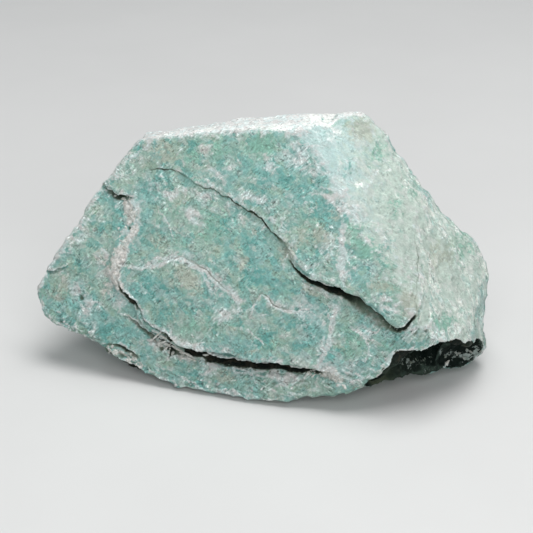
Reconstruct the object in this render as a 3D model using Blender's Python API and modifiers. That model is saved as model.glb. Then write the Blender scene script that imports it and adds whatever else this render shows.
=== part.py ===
"""Rough amazonite: one broken chunk of blue-green feldspar that rests on a small flat spot.

Metres, +Z up. The viewer of the front stands at -Y, and +X runs to the viewer's right.
The origin is the bottom centre of the chunk's box. The stone is one piece, so it is one solid:
a convex blank of broken faces, scooped out under its right end, then worked over with
cleavage ledges, open cracks and fracture texture, and ground flat where it stands.
"""

from itertools import product

import bmesh
import bpy
import numpy as np
from mathutils import Matrix, Vector

MM = 0.001

# Driving dimensions, in millimetres
LENGTH = 100.0
GRID = 0.45
TRIANGLES = 9300

# The small flat spot that it stands on: middle and radii of an oval, how steeply the underside
# climbs away from it, and the level at which it is ground flat
FOOT_MIDDLE = (3.5, -2.0)
FOOT_RADII = (13.5, 11.0)
FOOT_CLIMB = 1.8
FOOT_LEVEL = -1.0

# Outward directions of the big faces. The front leans back and turns a little to the left,
# the shoulder is the face right of the ridge, and the right face is beyond the crease.
FRONT_OUT = (-0.30, -0.87, 0.39)
SHOULDER_OUT = (0.28, -0.65, 0.70)
RIGHT_OUT = (0.65, -0.56, 0.51)
BACK_OUT = (0.05, 0.95, 0.31)

# Corners of the blank, in millimetres, group by group
FRONT_RIM = [
    (-50, -1, 14), (-48.5, -3, 11), (-46, -5, 8.5), (-35.5, -10, 4.5), (-28, -13.5, 2.2),
    (-19, -17.5, 0), (-2.5, -23.5, 0), (6, -26, 0), (16.5, -27.5, 3.2), (24, -28.5, 8),
    (29, -28.3, 12), (33, -26.5, 20),
]
LEFT_RIM = [(-41.5, 2.6, 27.6), (-34.6, 4.6, 37)]
RIDGE = [(26, -20, 28.5), (17.7, -12.3, 39), (12, -6.3, 48), (8.2, -2.6, 53.6)]
TOP_RIM = [
    (-2.4, 0.3, 52), (-13.3, 3, 50.2), (-23.8, 6, 47.7), (-27, 7.3, 46.4),
    (-24, 13, 46), (-4.6, 9, 51.8), (5, 7, 53.4), (12.5, 4, 54),
]
PEAK = [(18, 6, 53.6), (22, 6, 53.8), (27, 4, 50.7)]
RIGHT_RIM = [
    (27.8, 4, 43.6), (33.4, 3, 36), (41, 2, 30), (45.2, 1, 26.6), (49.4, -2, 22),
    (49.8, -4, 16.2), (49.4, -7, 8), (48.6, -11.5, 6.8),
]
CREASE = [(33, -6, 38.7), (34.3, -13.5, 28.8), (33.5, -25, 20)]
OVERHANG = [(38.3, -24.8, 13.6), (44.5, -18.7, 10.5)]
FOOT_RIM = [(49.4, -5, 0.6), (45, -10, 0.3), (37, -14.5, 0.2), (29, -17, 0), (20, -20, 0)]
FOOT = [
    (-10, -8, -1.4), (-3, -13, -1.4), (9, -13.5, -1.4), (17, -8, -1.4), (17, 3, -1.4),
    (9, 9, -1.4), (-3, 8.5, -1.4), (-10, 2, -1.4),
]
UNDERSIDE = [(-16, 15, 2), (-4, 21, 1.4), (22, 21, 1.4), (33, 13, 1.6), (41, 3, 1.2)]
BACK = [
    (-21, 19, 43), (0, 19, 47), (17, 17, 48.5), (26, 13, 42.6), (36, 12, 30.6), (45.5, 7, 18),
    (-32, 18, 29), (-8, 27, 33), (15, 27, 33), (-40, 12, 15), (-30, 20, 9), (-6, 28.5, 14),
    (20, 28.5, 13), (40, 17, 10),
]

# The ridge between front and shoulder is rolled, not sharp
ROLL_REACH = 4.5
ROLL_PASSES = 26

# Scoops: centre and radii in millimetres, and turn about Z in degrees. Three undercut the right
# end, and the last is the nick in the top edge.
SCOOPS = [
    ((36.5, -20.5, 6.2), (11.0, 4.0, 5.2), 40),
    ((44.2, -14.5, 5.0), (5.0, 3.8, 4.4), 48),
    ((28.3, -24.5, 5.0), (6.0, 3.0, 3.4), 15),
    ((15.0, 4.0, 56.0), (1.9, 9.0, 3.2), -18),
]

# Ledges, each a line of x and z in millimetres with the higher layer on its left as it runs.
# Along the line, from end to end: the step's height, the depth of the crack under it, and the
# crack's mouth. The step lifts along "out" and the crack runs in along "under".
FRONT_UNDER = (0.0, 0.75, 0.65)
LEDGES = [
    {
        "name": "upper layer",
        "line": [
            (-25, 42), (-21, 42.7), (-17.5, 42), (-14.5, 40.2), (-11, 39.6), (-7.5, 38.5),
            (-2, 36), (2, 33.8), (5.5, 29.8), (7.5, 26.8), (11, 24.5), (17.5, 23.3),
            (21, 22.4), (24.5, 20.4), (28, 17.8), (29.7, 18), (31.5, 20.5),
        ],
        "step": [0.0, 0.25, 0.35, 0.7, 1.1, 1.5, 2.3, 2.5, 2.2, 1.0],
        "crack": [0.0, 0.5, 0.5, 0.8, 0.8, 1.1, 2.4, 1.6, 1.2, 0.0],
        "mouth": [0.4, 0.4, 0.4, 0.45, 0.5, 0.6, 0.8, 0.9, 0.8, 0.7],
        "edge": 0.7, "out": FRONT_OUT, "under": FRONT_UNDER,
    },
    {
        "name": "middle layer",
        "line": [
            (-28, 36), (-29, 32), (-30, 28), (-32, 25), (-32.7, 21), (-31, 17), (-27.6, 15),
            (-26.4, 12.6), (-24, 10.6), (-20.5, 9), (-17.5, 7.6), (-13, 7), (-5.5, 7),
            (-1, 6.6), (3.5, 7), (8, 7.2), (13, 6.6), (16, 6.4),
        ],
        "step": [0.0, 0.5, 0.8, 1.0, 1.2, 1.6, 2.2, 2.3, 2.0, 0.3],
        "crack": [0.0, 0.2, 0.3, 0.9, 1.2, 2.0, 3.4, 3.6, 3.2, 0.2],
        "mouth": [0.6, 0.6, 0.6, 0.7, 0.7, 0.9, 1.1, 1.1, 0.9, 0.6],
        "edge": 0.6, "out": FRONT_OUT, "under": FRONT_UNDER,
    },
    {
        "name": "notch at the upper left",
        "line": [(-36.5, 38), (-34.5, 37), (-31.5, 36), (-30, 35.6), (-27.5, 36)],
        "step": [1.0, 1.3, 0.9, 0.0],
        "crack": [1.6, 2.4, 1.6, 0.0],
        "mouth": [0.9, 0.8, 0.7, 0.5],
        "edge": 0.6, "out": FRONT_OUT, "under": FRONT_UNDER,
    },
    {
        "name": "notch at the tip",
        "line": [(-50, 17.6), (-46.5, 19.7), (-44.5, 20.9), (-42, 22.3)],
        "step": [0.6, 0.6, 0.4, 0.0],
        "crack": [1.6, 1.5, 0.6, 0.0],
        "mouth": [0.8, 0.8, 0.6, 0.5],
        "edge": 0.5, "out": FRONT_OUT, "under": FRONT_UNDER,
    },
    {
        "name": "scale at the lower left",
        "line": [
            (-6.5, 19.6), (-7.6, 21.8), (-10.5, 23.2), (-13.3, 25.2), (-16.5, 26.9),
            (-19.6, 27.6), (-23.5, 25.8), (-26.8, 25.6),
        ],
        "step": [0.0, 0.35, 0.5, 0.5, 0.4, 0.0],
        "crack": [0.0, 0.0],
        "mouth": [0.5, 0.5],
        "edge": 0.5, "out": FRONT_OUT, "under": FRONT_UNDER,
    },
    {
        "name": "right end of the upper layer",
        "line": [(33.2, 20.5), (34.2, 24), (34.6, 28.5), (34.0, 33.5), (33.0, 38.5), (32, 42)],
        "step": [1.0, 0.8, 0.6, 0.5, 0.3, 0.0],
        "crack": [0.8, 0.4, 0.3, 0.4, 0.2, 0.0],
        "mouth": [0.8, 0.7, 0.6, 0.6, 0.6, 0.6],
        "edge": 0.9, "out": (0.47, -0.62, 0.62), "under": (-0.7, 0.5, -0.1),
    },
    {
        "name": "upper break on the back",
        "line": [(-37, 21), (-30, 25), (-21, 26.5), (-9, 24), (-4, 29), (9, 31), (18, 28.5), (33, 33)],
        "step": [0.0, 1.4, 2.0, 1.6, 2.4, 2.6, 1.8, 0.0],
        "crack": [0.0, 0.5, 1.2, 0.3, 0.8, 1.4, 0.6, 0.0],
        "mouth": [0.8, 0.8],
        "edge": 0.8, "out": BACK_OUT, "under": (0.0, -0.75, 0.65),
    },
    {
        "name": "lower break on the back",
        "line": [(41, 15), (30, 12), (21, 15.5), (12, 12), (-3, 15), (-8, 10.5), (-22, 13), (-33, 10)],
        "step": [0.0, 1.0, 1.6, 1.2, 1.8, 1.4, 0.8, 0.0],
        "crack": [0.0, 0.0],
        "mouth": [0.8, 0.8],
        "edge": 0.7, "out": BACK_OUT, "under": (0.0, -0.8, -0.3),
    },
    {
        "name": "upright break on the back",
        "line": [(11, 47), (7, 42), (8.5, 37), (5.5, 31)],
        "step": [0.4, 1.3, 1.5, 0.6],
        "crack": [0.0, 0.5, 0.5, 0.0],
        "mouth": [0.7, 0.7],
        "edge": 0.6, "out": BACK_OUT, "under": (-0.5, -0.8, 0.0),
    },
]
LEDGE_REACH_HIGH = 11.0
LEDGE_REACH_LOW = 7.0
LEDGE_FADE = 1.5

# Random values on the corners of a grid, from which all the noise is made
LATTICE_SIZE = 48
LATTICE = np.random.default_rng(20).uniform(-1, 1, (LATTICE_SIZE,) * 3 + (3,))


def clear_scene():
    for obj in list(bpy.data.objects):
        bpy.data.objects.remove(obj, do_unlink=True)


def new_collection(name):
    made = bpy.data.collections.new(name)
    bpy.context.scene.collection.children.link(made)
    return made


def convex_blank(collection):
    """The blank: the convex hull of the named corners."""
    corners = FRONT_RIM + LEFT_RIM + RIDGE + TOP_RIM + PEAK + RIGHT_RIM + CREASE + OVERHANG
    corners += FOOT_RIM + FOOT + UNDERSIDE + BACK
    bm = bmesh.new()
    for corner in corners:
        bm.verts.new(Vector(corner) * MM)
    hull = bmesh.ops.convex_hull(bm, input=bm.verts)
    inside = [g for g in hull["geom_interior"] if isinstance(g, bmesh.types.BMVert)]
    bmesh.ops.delete(bm, geom=inside, context="VERTS")
    bmesh.ops.recalc_face_normals(bm, faces=bm.faces)
    mesh = bpy.data.meshes.new("chunk_blank")
    bm.to_mesh(mesh)
    bm.free()
    blank = bpy.data.objects.new("chunk_blank", mesh)
    collection.objects.link(blank)
    return blank


def scoop_cutter(collection, number, centre, radii, turn):
    """A rounded hollow, like a shell-shaped fracture: a ball stretched to its three radii."""
    mesh = bpy.data.meshes.new(f"scoop_{number}")
    bm = bmesh.new()
    place = (
        Matrix.Translation(Vector(centre) * MM)
        @ Matrix.Rotation(np.radians(turn), 4, "Z")
        @ Matrix.Diagonal((*(r * MM for r in radii), 1))
    )
    bmesh.ops.create_icosphere(bm, subdivisions=4, radius=1, matrix=place)
    bm.to_mesh(mesh)
    bm.free()
    cutter = bpy.data.objects.new(f"scoop_{number}", mesh)
    cutter.hide_render = True
    cutter.display_type = "WIRE"
    collection.objects.link(cutter)
    return cutter


def evaluated_mesh(obj):
    graph = bpy.context.evaluated_depsgraph_get()
    return bpy.data.meshes.new_from_object(obj.evaluated_get(graph))


def fine_blank(blank, cutters):
    """The blank's mesh, scooped out and resampled to an even grid with its corners worn a little."""
    for cutter in cutters:
        cut = blank.modifiers.new(cutter.name, "BOOLEAN")
        cut.operation = "DIFFERENCE"
        cut.object = cutter
    grid = blank.modifiers.new("even_grid", "REMESH")
    grid.mode = "VOXEL"
    grid.voxel_size = GRID * MM
    worn = blank.modifiers.new("worn_corners", "SMOOTH")
    worn.factor = 0.5
    worn.iterations = 8
    mesh = evaluated_mesh(blank)
    blank.hide_render = True
    return mesh


def vertex_values(source, name):
    flat = np.empty(len(source) * 3, np.float32)
    source.foreach_get(name, flat)
    return flat.reshape(-1, 3).astype(float)


def move_vertices(mesh, points):
    mesh.vertices.foreach_set("co", points.astype(np.float32).ravel())
    mesh.update()


def smoothstep(value, low, high):
    share = np.clip((value - low) / (high - low), 0, 1)
    return share * share * (3 - 2 * share)


def lattice_values(cells):
    x, y, z = (cells % LATTICE_SIZE).astype(int).T
    return LATTICE[x, y, z]


def noise_field(points_mm, cell, offset):
    """Smooth noise, about -1 to 1, with lumps of one cell in millimetres."""
    places = points_mm / cell + offset * np.array((1.37, 2.71, 4.13))
    base = np.floor(places)
    part = places - base
    ease = part**3 * (part * (part * 6 - 15) + 10)
    total = np.zeros(len(places))
    for corner in product((0, 1), repeat=3):
        slope = lattice_values(base + corner)
        weight = np.where(np.array(corner) == 1, ease, 1 - ease).prod(axis=1)
        total += weight * (slope * (part - corner)).sum(axis=1)
    return 1.7 * total


def scalloped_field(points_mm, cell, offset):
    """Shallow tilted hollows that meet in sharp ridges, from about -0.5 to 0.5: each hollow is a
    bowl about its own point of the grid, and the lowest bowl counts."""
    places = points_mm / cell + offset * np.array((3.11, 1.93, 2.47))
    base = np.floor(places)
    lowest = np.full(len(places), np.inf)
    for corner in product((-1, 0, 1), repeat=3):
        cells = base + corner
        drift = lattice_values(cells)
        away = places - (cells + 0.5 + 0.45 * drift)
        lean = lattice_values(cells + 17)
        bowl = (away**2).sum(axis=1) + 0.55 * (away * lean).sum(axis=1)
        lowest = np.minimum(lowest, bowl)
    return lowest - 0.3


def along_line(points_2d, line):
    """Signed distance from each point to a polyline, positive on its left, the share of its length
    at which the point lies, and how far it lies past either end. Past an end the distance is the
    one to the end leg's straight run, so that it changes sign smoothly there. The share blends
    the legs by their nearness, so that it doesn't jump between them."""
    line = np.array(line, float)
    starts, legs = line[:-1], np.diff(line, axis=0)
    lengths = np.linalg.norm(legs, axis=1)
    before = np.concatenate([[0], np.cumsum(lengths)])
    best = np.full(len(points_2d), np.inf)
    signed = np.zeros(len(points_2d))
    share = np.zeros(len(points_2d))
    past = np.zeros(len(points_2d))
    total = np.zeros(len(points_2d))
    for number, (start, leg, length, run) in enumerate(zip(starts, legs, lengths, before), 1):
        offset = points_2d - start
        free = offset @ leg / length**2
        t = np.clip(free, 0, 1)
        distance = np.linalg.norm(offset - t[:, None] * leg, axis=1)
        across = (leg[0] * offset[:, 1] - leg[1] * offset[:, 0]) / length
        outside = np.zeros(len(points_2d))
        if number == 1:
            outside += np.maximum(-free, 0) * length
        if number == len(legs):
            outside += np.maximum(free - 1, 0) * length
        nearer = distance < best - 1e-9
        best = np.where(nearer, distance, best)
        here = np.where(outside > 0, across, np.sign(across) * distance)
        signed = np.where(nearer, here, signed)
        weight = 1 / (distance**4 + 0.01)
        share += weight * (run + t * length) / before[-1]
        past += weight * outside
        total += weight
    return signed, share / total, past / total


def profile_along(values, share):
    return np.interp(share, np.linspace(0, 1, len(values)), values)


def ledge_move(points_mm, outward, wander, ledge):
    """How far a ledge moves each vertex, in millimetres: a step out of the face on the high side,
    one into it on the low side, and a crack running in under the step."""
    out = np.array(ledge["out"])
    facing = smoothstep(outward @ out, 0.2, 0.6)
    distance, share, past = along_line(points_mm[:, [0, 2]] + wander, ledge["line"])
    facing = facing * np.exp(-((past / LEDGE_FADE) ** 2))
    step = profile_along(ledge["step"], share)
    crack = profile_along(ledge["crack"], share)
    mouth = profile_along(ledge["mouth"], share)
    reach = np.where(distance > 0, LEDGE_REACH_HIGH, LEDGE_REACH_LOW)
    lift = 0.5 * step * np.tanh(distance / ledge["edge"]) * np.exp(-((distance / reach) ** 2))
    sink = crack * np.exp(-1.6 * (distance / mouth + 0.6) ** 2)
    return facing[:, None] * (lift[:, None] * out + sink[:, None] * np.array(ledge["under"]))


def foot_distance(points_mm):
    """Nought at the middle of the foot, 1 on its uneven rim, more outside."""
    across = (points_mm[:, :2] - np.array(FOOT_MIDDLE)) / np.array(FOOT_RADII)
    return np.linalg.norm(across, axis=1) * (1 + 0.3 * noise_field(points_mm, 9, 8))


def depth_behind_front(points_mm):
    return (np.array(FRONT_RIM[-1]) - points_mm) @ np.array(FRONT_OUT)


def in_recess(points_mm):
    """1 inside the undercut's scoops, falling to nought a little outside them."""
    nearest = np.full(len(points_mm), np.inf)
    for centre, radii, turn in SCOOPS[:3]:
        turn_back = np.array(Matrix.Rotation(np.radians(-turn), 3, "Z"))
        local = (points_mm - np.array(centre)) @ turn_back.T / np.array(radii)
        nearest = np.minimum(nearest, np.linalg.norm(local, axis=1))
    return 1 - smoothstep(nearest, 1.05, 1.5)


def underside_climb(points_mm, outward):
    """Lift of the underside, in millimetres: down a little inside the foot, up outside it, and
    nothing near the sharp edges that it shares with the front and the undercut."""
    down = smoothstep(-outward[:, 2], 0.3, 0.8)
    clear = smoothstep(depth_behind_front(points_mm), 2, 9) * (1 - in_recess(points_mm))
    return down * clear * FOOT_CLIMB * np.clip(foot_distance(points_mm) - 1, -0.5, 0.9)


def fracture_texture(points_mm, outward):
    """Height of the broken texture, in millimetres: nearly none on the big cleavage faces, soft
    flutes on the right face, and scalloped fracture on the back and underneath."""
    front = smoothstep(outward @ np.array(FRONT_OUT), 0.7, 0.93)
    shoulder = smoothstep(outward @ np.array(SHOULDER_OUT), 0.8, 0.95)
    right = smoothstep(outward @ np.array(RIGHT_OUT), 0.7, 0.9)
    up = smoothstep(outward[:, 2], 0.6, 0.95)
    rim = 1 - smoothstep(depth_behind_front(points_mm), 2, 10)
    hollow = in_recess(points_mm)
    calm = np.max([front, 0.85 * shoulder, 0.75 * right, 0.8 * up, 0.8 * rim, 0.7 * hollow], axis=0)
    rough = 1 - 0.85 * calm
    height = (0.35 + 0.5 * rough) * noise_field(points_mm, 16, 1)
    height += (0.12 + 0.3 * rough) * noise_field(points_mm, 6.5, 2)
    height += 2.4 * rough * scalloped_field(points_mm, 10.5, 3)
    height += 0.9 * rough * scalloped_field(points_mm, 4.8, 4)
    height += 0.35 * right * noise_field(points_mm * np.array((1, 1, 0.25)), 3.4, 5)
    down = smoothstep(-outward[:, 2], 0.3, 0.8)
    height = np.minimum(height - 0.6 * down, height * (1 - down) + 0.1)
    clear = smoothstep(depth_behind_front(points_mm), 1, 8)
    clear *= smoothstep(foot_distance(points_mm), 1.0, 1.7)
    return height * (1 - down * (1 - clear))


def roll_ridge(mesh):
    """Rounds the ridge between front and shoulder."""
    bm = bmesh.new()
    bm.from_mesh(mesh)
    corners = [Vector(corner) * MM for corner in [FRONT_RIM[-1], *RIDGE]]
    near = []
    for vert in bm.verts:
        for first, last in zip(corners, corners[1:]):
            leg = last - first
            t = min(max((vert.co - first).dot(leg) / leg.length_squared, 0), 1)
            if (vert.co - first - t * leg).length < ROLL_REACH * MM:
                near.append(vert)
                break
    for _ in range(ROLL_PASSES):
        bmesh.ops.smooth_vert(
            bm, verts=near, factor=0.5, use_axis_x=True, use_axis_y=True, use_axis_z=True
        )
    bm.to_mesh(mesh)
    bm.free()


def work_surface(mesh):
    """Moves the vertices of the fine blank: fracture texture first, then the ledges."""
    points_mm = vertex_values(mesh.vertices, "co") / MM
    outward = vertex_values(mesh.vertex_normals, "vector")
    worked = points_mm + fracture_texture(points_mm, outward)[:, None] * outward
    worked[:, 2] += underside_climb(points_mm, outward)
    wander = 0.4 * np.stack([noise_field(points_mm, 2.2, 6), noise_field(points_mm, 2.2, 7)], axis=1)
    for ledge in LEDGES:
        worked += ledge_move(points_mm, outward, wander, ledge)
    move_vertices(mesh, worked * MM)


def thinned(mesh, collection):
    """The worked mesh, resampled so that no fold is left, with few triangles, spent where the
    surface turns."""
    carrier = bpy.data.objects.new("worked_chunk", mesh)
    collection.objects.link(carrier)
    carrier.hide_render = True
    clean = carrier.modifiers.new("clean_grid", "REMESH")
    clean.mode = "VOXEL"
    clean.voxel_size = GRID * MM
    even = evaluated_mesh(carrier)
    even.calc_loop_triangles()
    fewer = carrier.modifiers.new("fewer_triangles", "DECIMATE")
    fewer.ratio = TRIANGLES / len(even.loop_triangles)
    bpy.data.meshes.remove(even)
    return evaluated_mesh(carrier)


def keep_biggest_body(bm):
    """Deletes crumbs that resampling left inside closed folds."""
    bodies = []
    left = set(bm.verts)
    while left:
        body = set()
        edge_of_body = {left.pop()}
        while edge_of_body:
            body |= edge_of_body
            linked = {e.other_vert(v) for v in edge_of_body for e in v.link_edges}
            edge_of_body = linked - body
        left -= body
        bodies.append(body)
    bodies.sort(key=len)
    crumbs = [vert for body in bodies[:-1] for vert in body]
    bmesh.ops.delete(bm, geom=crumbs, context="VERTS")


def stand_on_foot(mesh):
    """Grinds the foot flat and puts the origin at the bottom centre of the box."""
    bm = bmesh.new()
    bm.from_mesh(mesh)
    keep_biggest_body(bm)
    cut = bmesh.ops.bisect_plane(
        bm,
        geom=[*bm.verts, *bm.edges, *bm.faces],
        plane_co=(0, 0, FOOT_LEVEL * MM),
        plane_no=(0, 0, -1),
        clear_outer=True,
    )
    rim = [g for g in cut["geom_cut"] if isinstance(g, bmesh.types.BMEdge)]
    bmesh.ops.holes_fill(bm, edges=rim, sides=0)
    bmesh.ops.triangulate(bm, faces=[f for f in bm.faces if len(f.verts) > 3])
    bmesh.ops.recalc_face_normals(bm, faces=bm.faces)
    bm.to_mesh(mesh)
    bm.free()
    points = vertex_values(mesh.vertices, "co")
    low, high = points.min(axis=0), points.max(axis=0)
    centre = np.array(((low[0] + high[0]) / 2, (low[1] + high[1]) / 2, low[2]))
    move_vertices(mesh, (points - centre) * (LENGTH * MM / (high[0] - low[0])))


def amazonite_material():
    """Blue-green feldspar, dull on its broken faces."""
    material = bpy.data.materials.new("amazonite")
    material.use_nodes = True
    shader = material.node_tree.nodes["Principled BSDF"]
    shader.inputs["Base Color"].default_value = (0.27, 0.50, 0.42, 1)
    shader.inputs["Roughness"].default_value = 0.62
    shader.inputs["Metallic"].default_value = 0.0
    return material


def main():
    clear_scene()
    stone = new_collection("rough_amazonite")
    cutters = new_collection("cutters")
    blank = convex_blank(cutters)
    scoops = [scoop_cutter(cutters, i, *scoop) for i, scoop in enumerate(SCOOPS, 1)]
    fine = fine_blank(blank, scoops)
    roll_ridge(fine)
    work_surface(fine)
    solid = thinned(fine, cutters)
    stand_on_foot(solid)
    solid.name = "amazonite_chunk"
    solid.materials.clear()
    solid.materials.append(amazonite_material())
    chunk = bpy.data.objects.new("amazonite_chunk", solid)
    stone.objects.link(chunk)


main()
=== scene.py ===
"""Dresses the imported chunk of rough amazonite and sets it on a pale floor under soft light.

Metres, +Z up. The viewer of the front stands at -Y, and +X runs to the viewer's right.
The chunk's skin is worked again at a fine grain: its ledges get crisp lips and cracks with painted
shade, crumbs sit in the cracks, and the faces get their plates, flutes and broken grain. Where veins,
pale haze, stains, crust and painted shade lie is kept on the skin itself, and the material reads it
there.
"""

from functools import partial, reduce
from itertools import product
from math import cos, radians, sin
from types import SimpleNamespace

import bpy
import numpy as np
from mathutils import Euler, Matrix, Vector
from mathutils.bvhtree import BVHTree


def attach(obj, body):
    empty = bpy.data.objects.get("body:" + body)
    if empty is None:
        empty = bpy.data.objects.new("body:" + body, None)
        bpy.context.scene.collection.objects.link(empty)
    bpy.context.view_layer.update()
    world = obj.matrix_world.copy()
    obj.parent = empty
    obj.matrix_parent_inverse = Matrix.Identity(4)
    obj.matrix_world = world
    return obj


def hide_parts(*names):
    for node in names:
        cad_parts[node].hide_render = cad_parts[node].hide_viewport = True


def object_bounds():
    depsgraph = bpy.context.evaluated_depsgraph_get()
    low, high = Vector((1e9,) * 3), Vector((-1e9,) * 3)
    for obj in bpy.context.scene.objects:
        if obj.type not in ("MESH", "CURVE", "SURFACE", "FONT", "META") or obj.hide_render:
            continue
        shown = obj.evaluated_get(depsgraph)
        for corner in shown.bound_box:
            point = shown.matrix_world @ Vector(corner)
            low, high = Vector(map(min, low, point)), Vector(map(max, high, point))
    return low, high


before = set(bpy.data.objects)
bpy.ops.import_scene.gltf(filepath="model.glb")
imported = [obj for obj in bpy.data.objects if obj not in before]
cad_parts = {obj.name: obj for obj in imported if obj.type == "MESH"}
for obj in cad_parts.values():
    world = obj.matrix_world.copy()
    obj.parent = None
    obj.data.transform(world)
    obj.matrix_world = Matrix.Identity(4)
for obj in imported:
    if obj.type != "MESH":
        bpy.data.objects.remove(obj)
cad_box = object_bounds()

MM = 0.001

# The view: the point looked at, how far off and how high the eye is, and the picture's frame
LOOKED_AT = Vector((1.1, 0.0, 21.1)) * MM
EYE_DISTANCE = 420 * MM
EYE_HEIGHT_DEG = 25.0
FOCAL_PIXELS = 1894.2
PICTURE_PIXELS = 533
SENSOR_MM = 36.0

LOOKING = Vector((0, cos(radians(EYE_HEIGHT_DEG)), -sin(radians(EYE_HEIGHT_DEG))))
PICTURE_UP = Vector((0, sin(radians(EYE_HEIGHT_DEG)), cos(radians(EYE_HEIGHT_DEG))))
PICTURE_RIGHT = Vector((1, 0, 0))
EYE = LOOKED_AT - LOOKING * EYE_DISTANCE

# Outward directions of the big faces
FACES = {
    "front": (-0.30, -0.87, 0.39),
    "shoulder": (0.28, -0.65, 0.70),
    "right": (0.65, -0.56, 0.51),
    "top": (0, 0, 1),
}

# The skin: its grain in millimetres, how near corners are to be joined, the pairs of shares that
# even it, and the triangles that the chunk keeps without its crumbs
GRAIN = 0.27
JOIN_WITHIN = 0.001 * MM
EVENING = (0.6, -0.62) * 14
TRIANGLES = 172000

# The foot: how steeply its skin faces down, and up to what height it is pressed flat
FOOT_FACES = -0.75
FOOT_HEIGHT = 0.3

# What is kept on the skin where no ledge or vein is near: distance and width in millimetres
FAR = 9.0
THIN = 0.3
# How far beyond a gap its painted shade ends, as a multiple of the reach given for it
GAP_FADE = 2.2

# Soft pushes that trim the outline: place in the picture, radius and push in millimetres
NUDGES = [
    ((404, 158), 6.5, (-0.75, 0, -0.5)), ((430, 192), 6, (-0.6, 0, -0.4)),
    ((456, 222), 4, (-0.35, 0, -0.25)), ((92, 345), 4.5, (0.5, 0.3, 1.5)),
    ((72, 328), 4, (0.3, 0.2, 0.6)), ((305, 402), 5.5, (0, 0.5, 1)),
    ((478, 350), 4.5, (0.1, -0.2, -1.3)),
]
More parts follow.
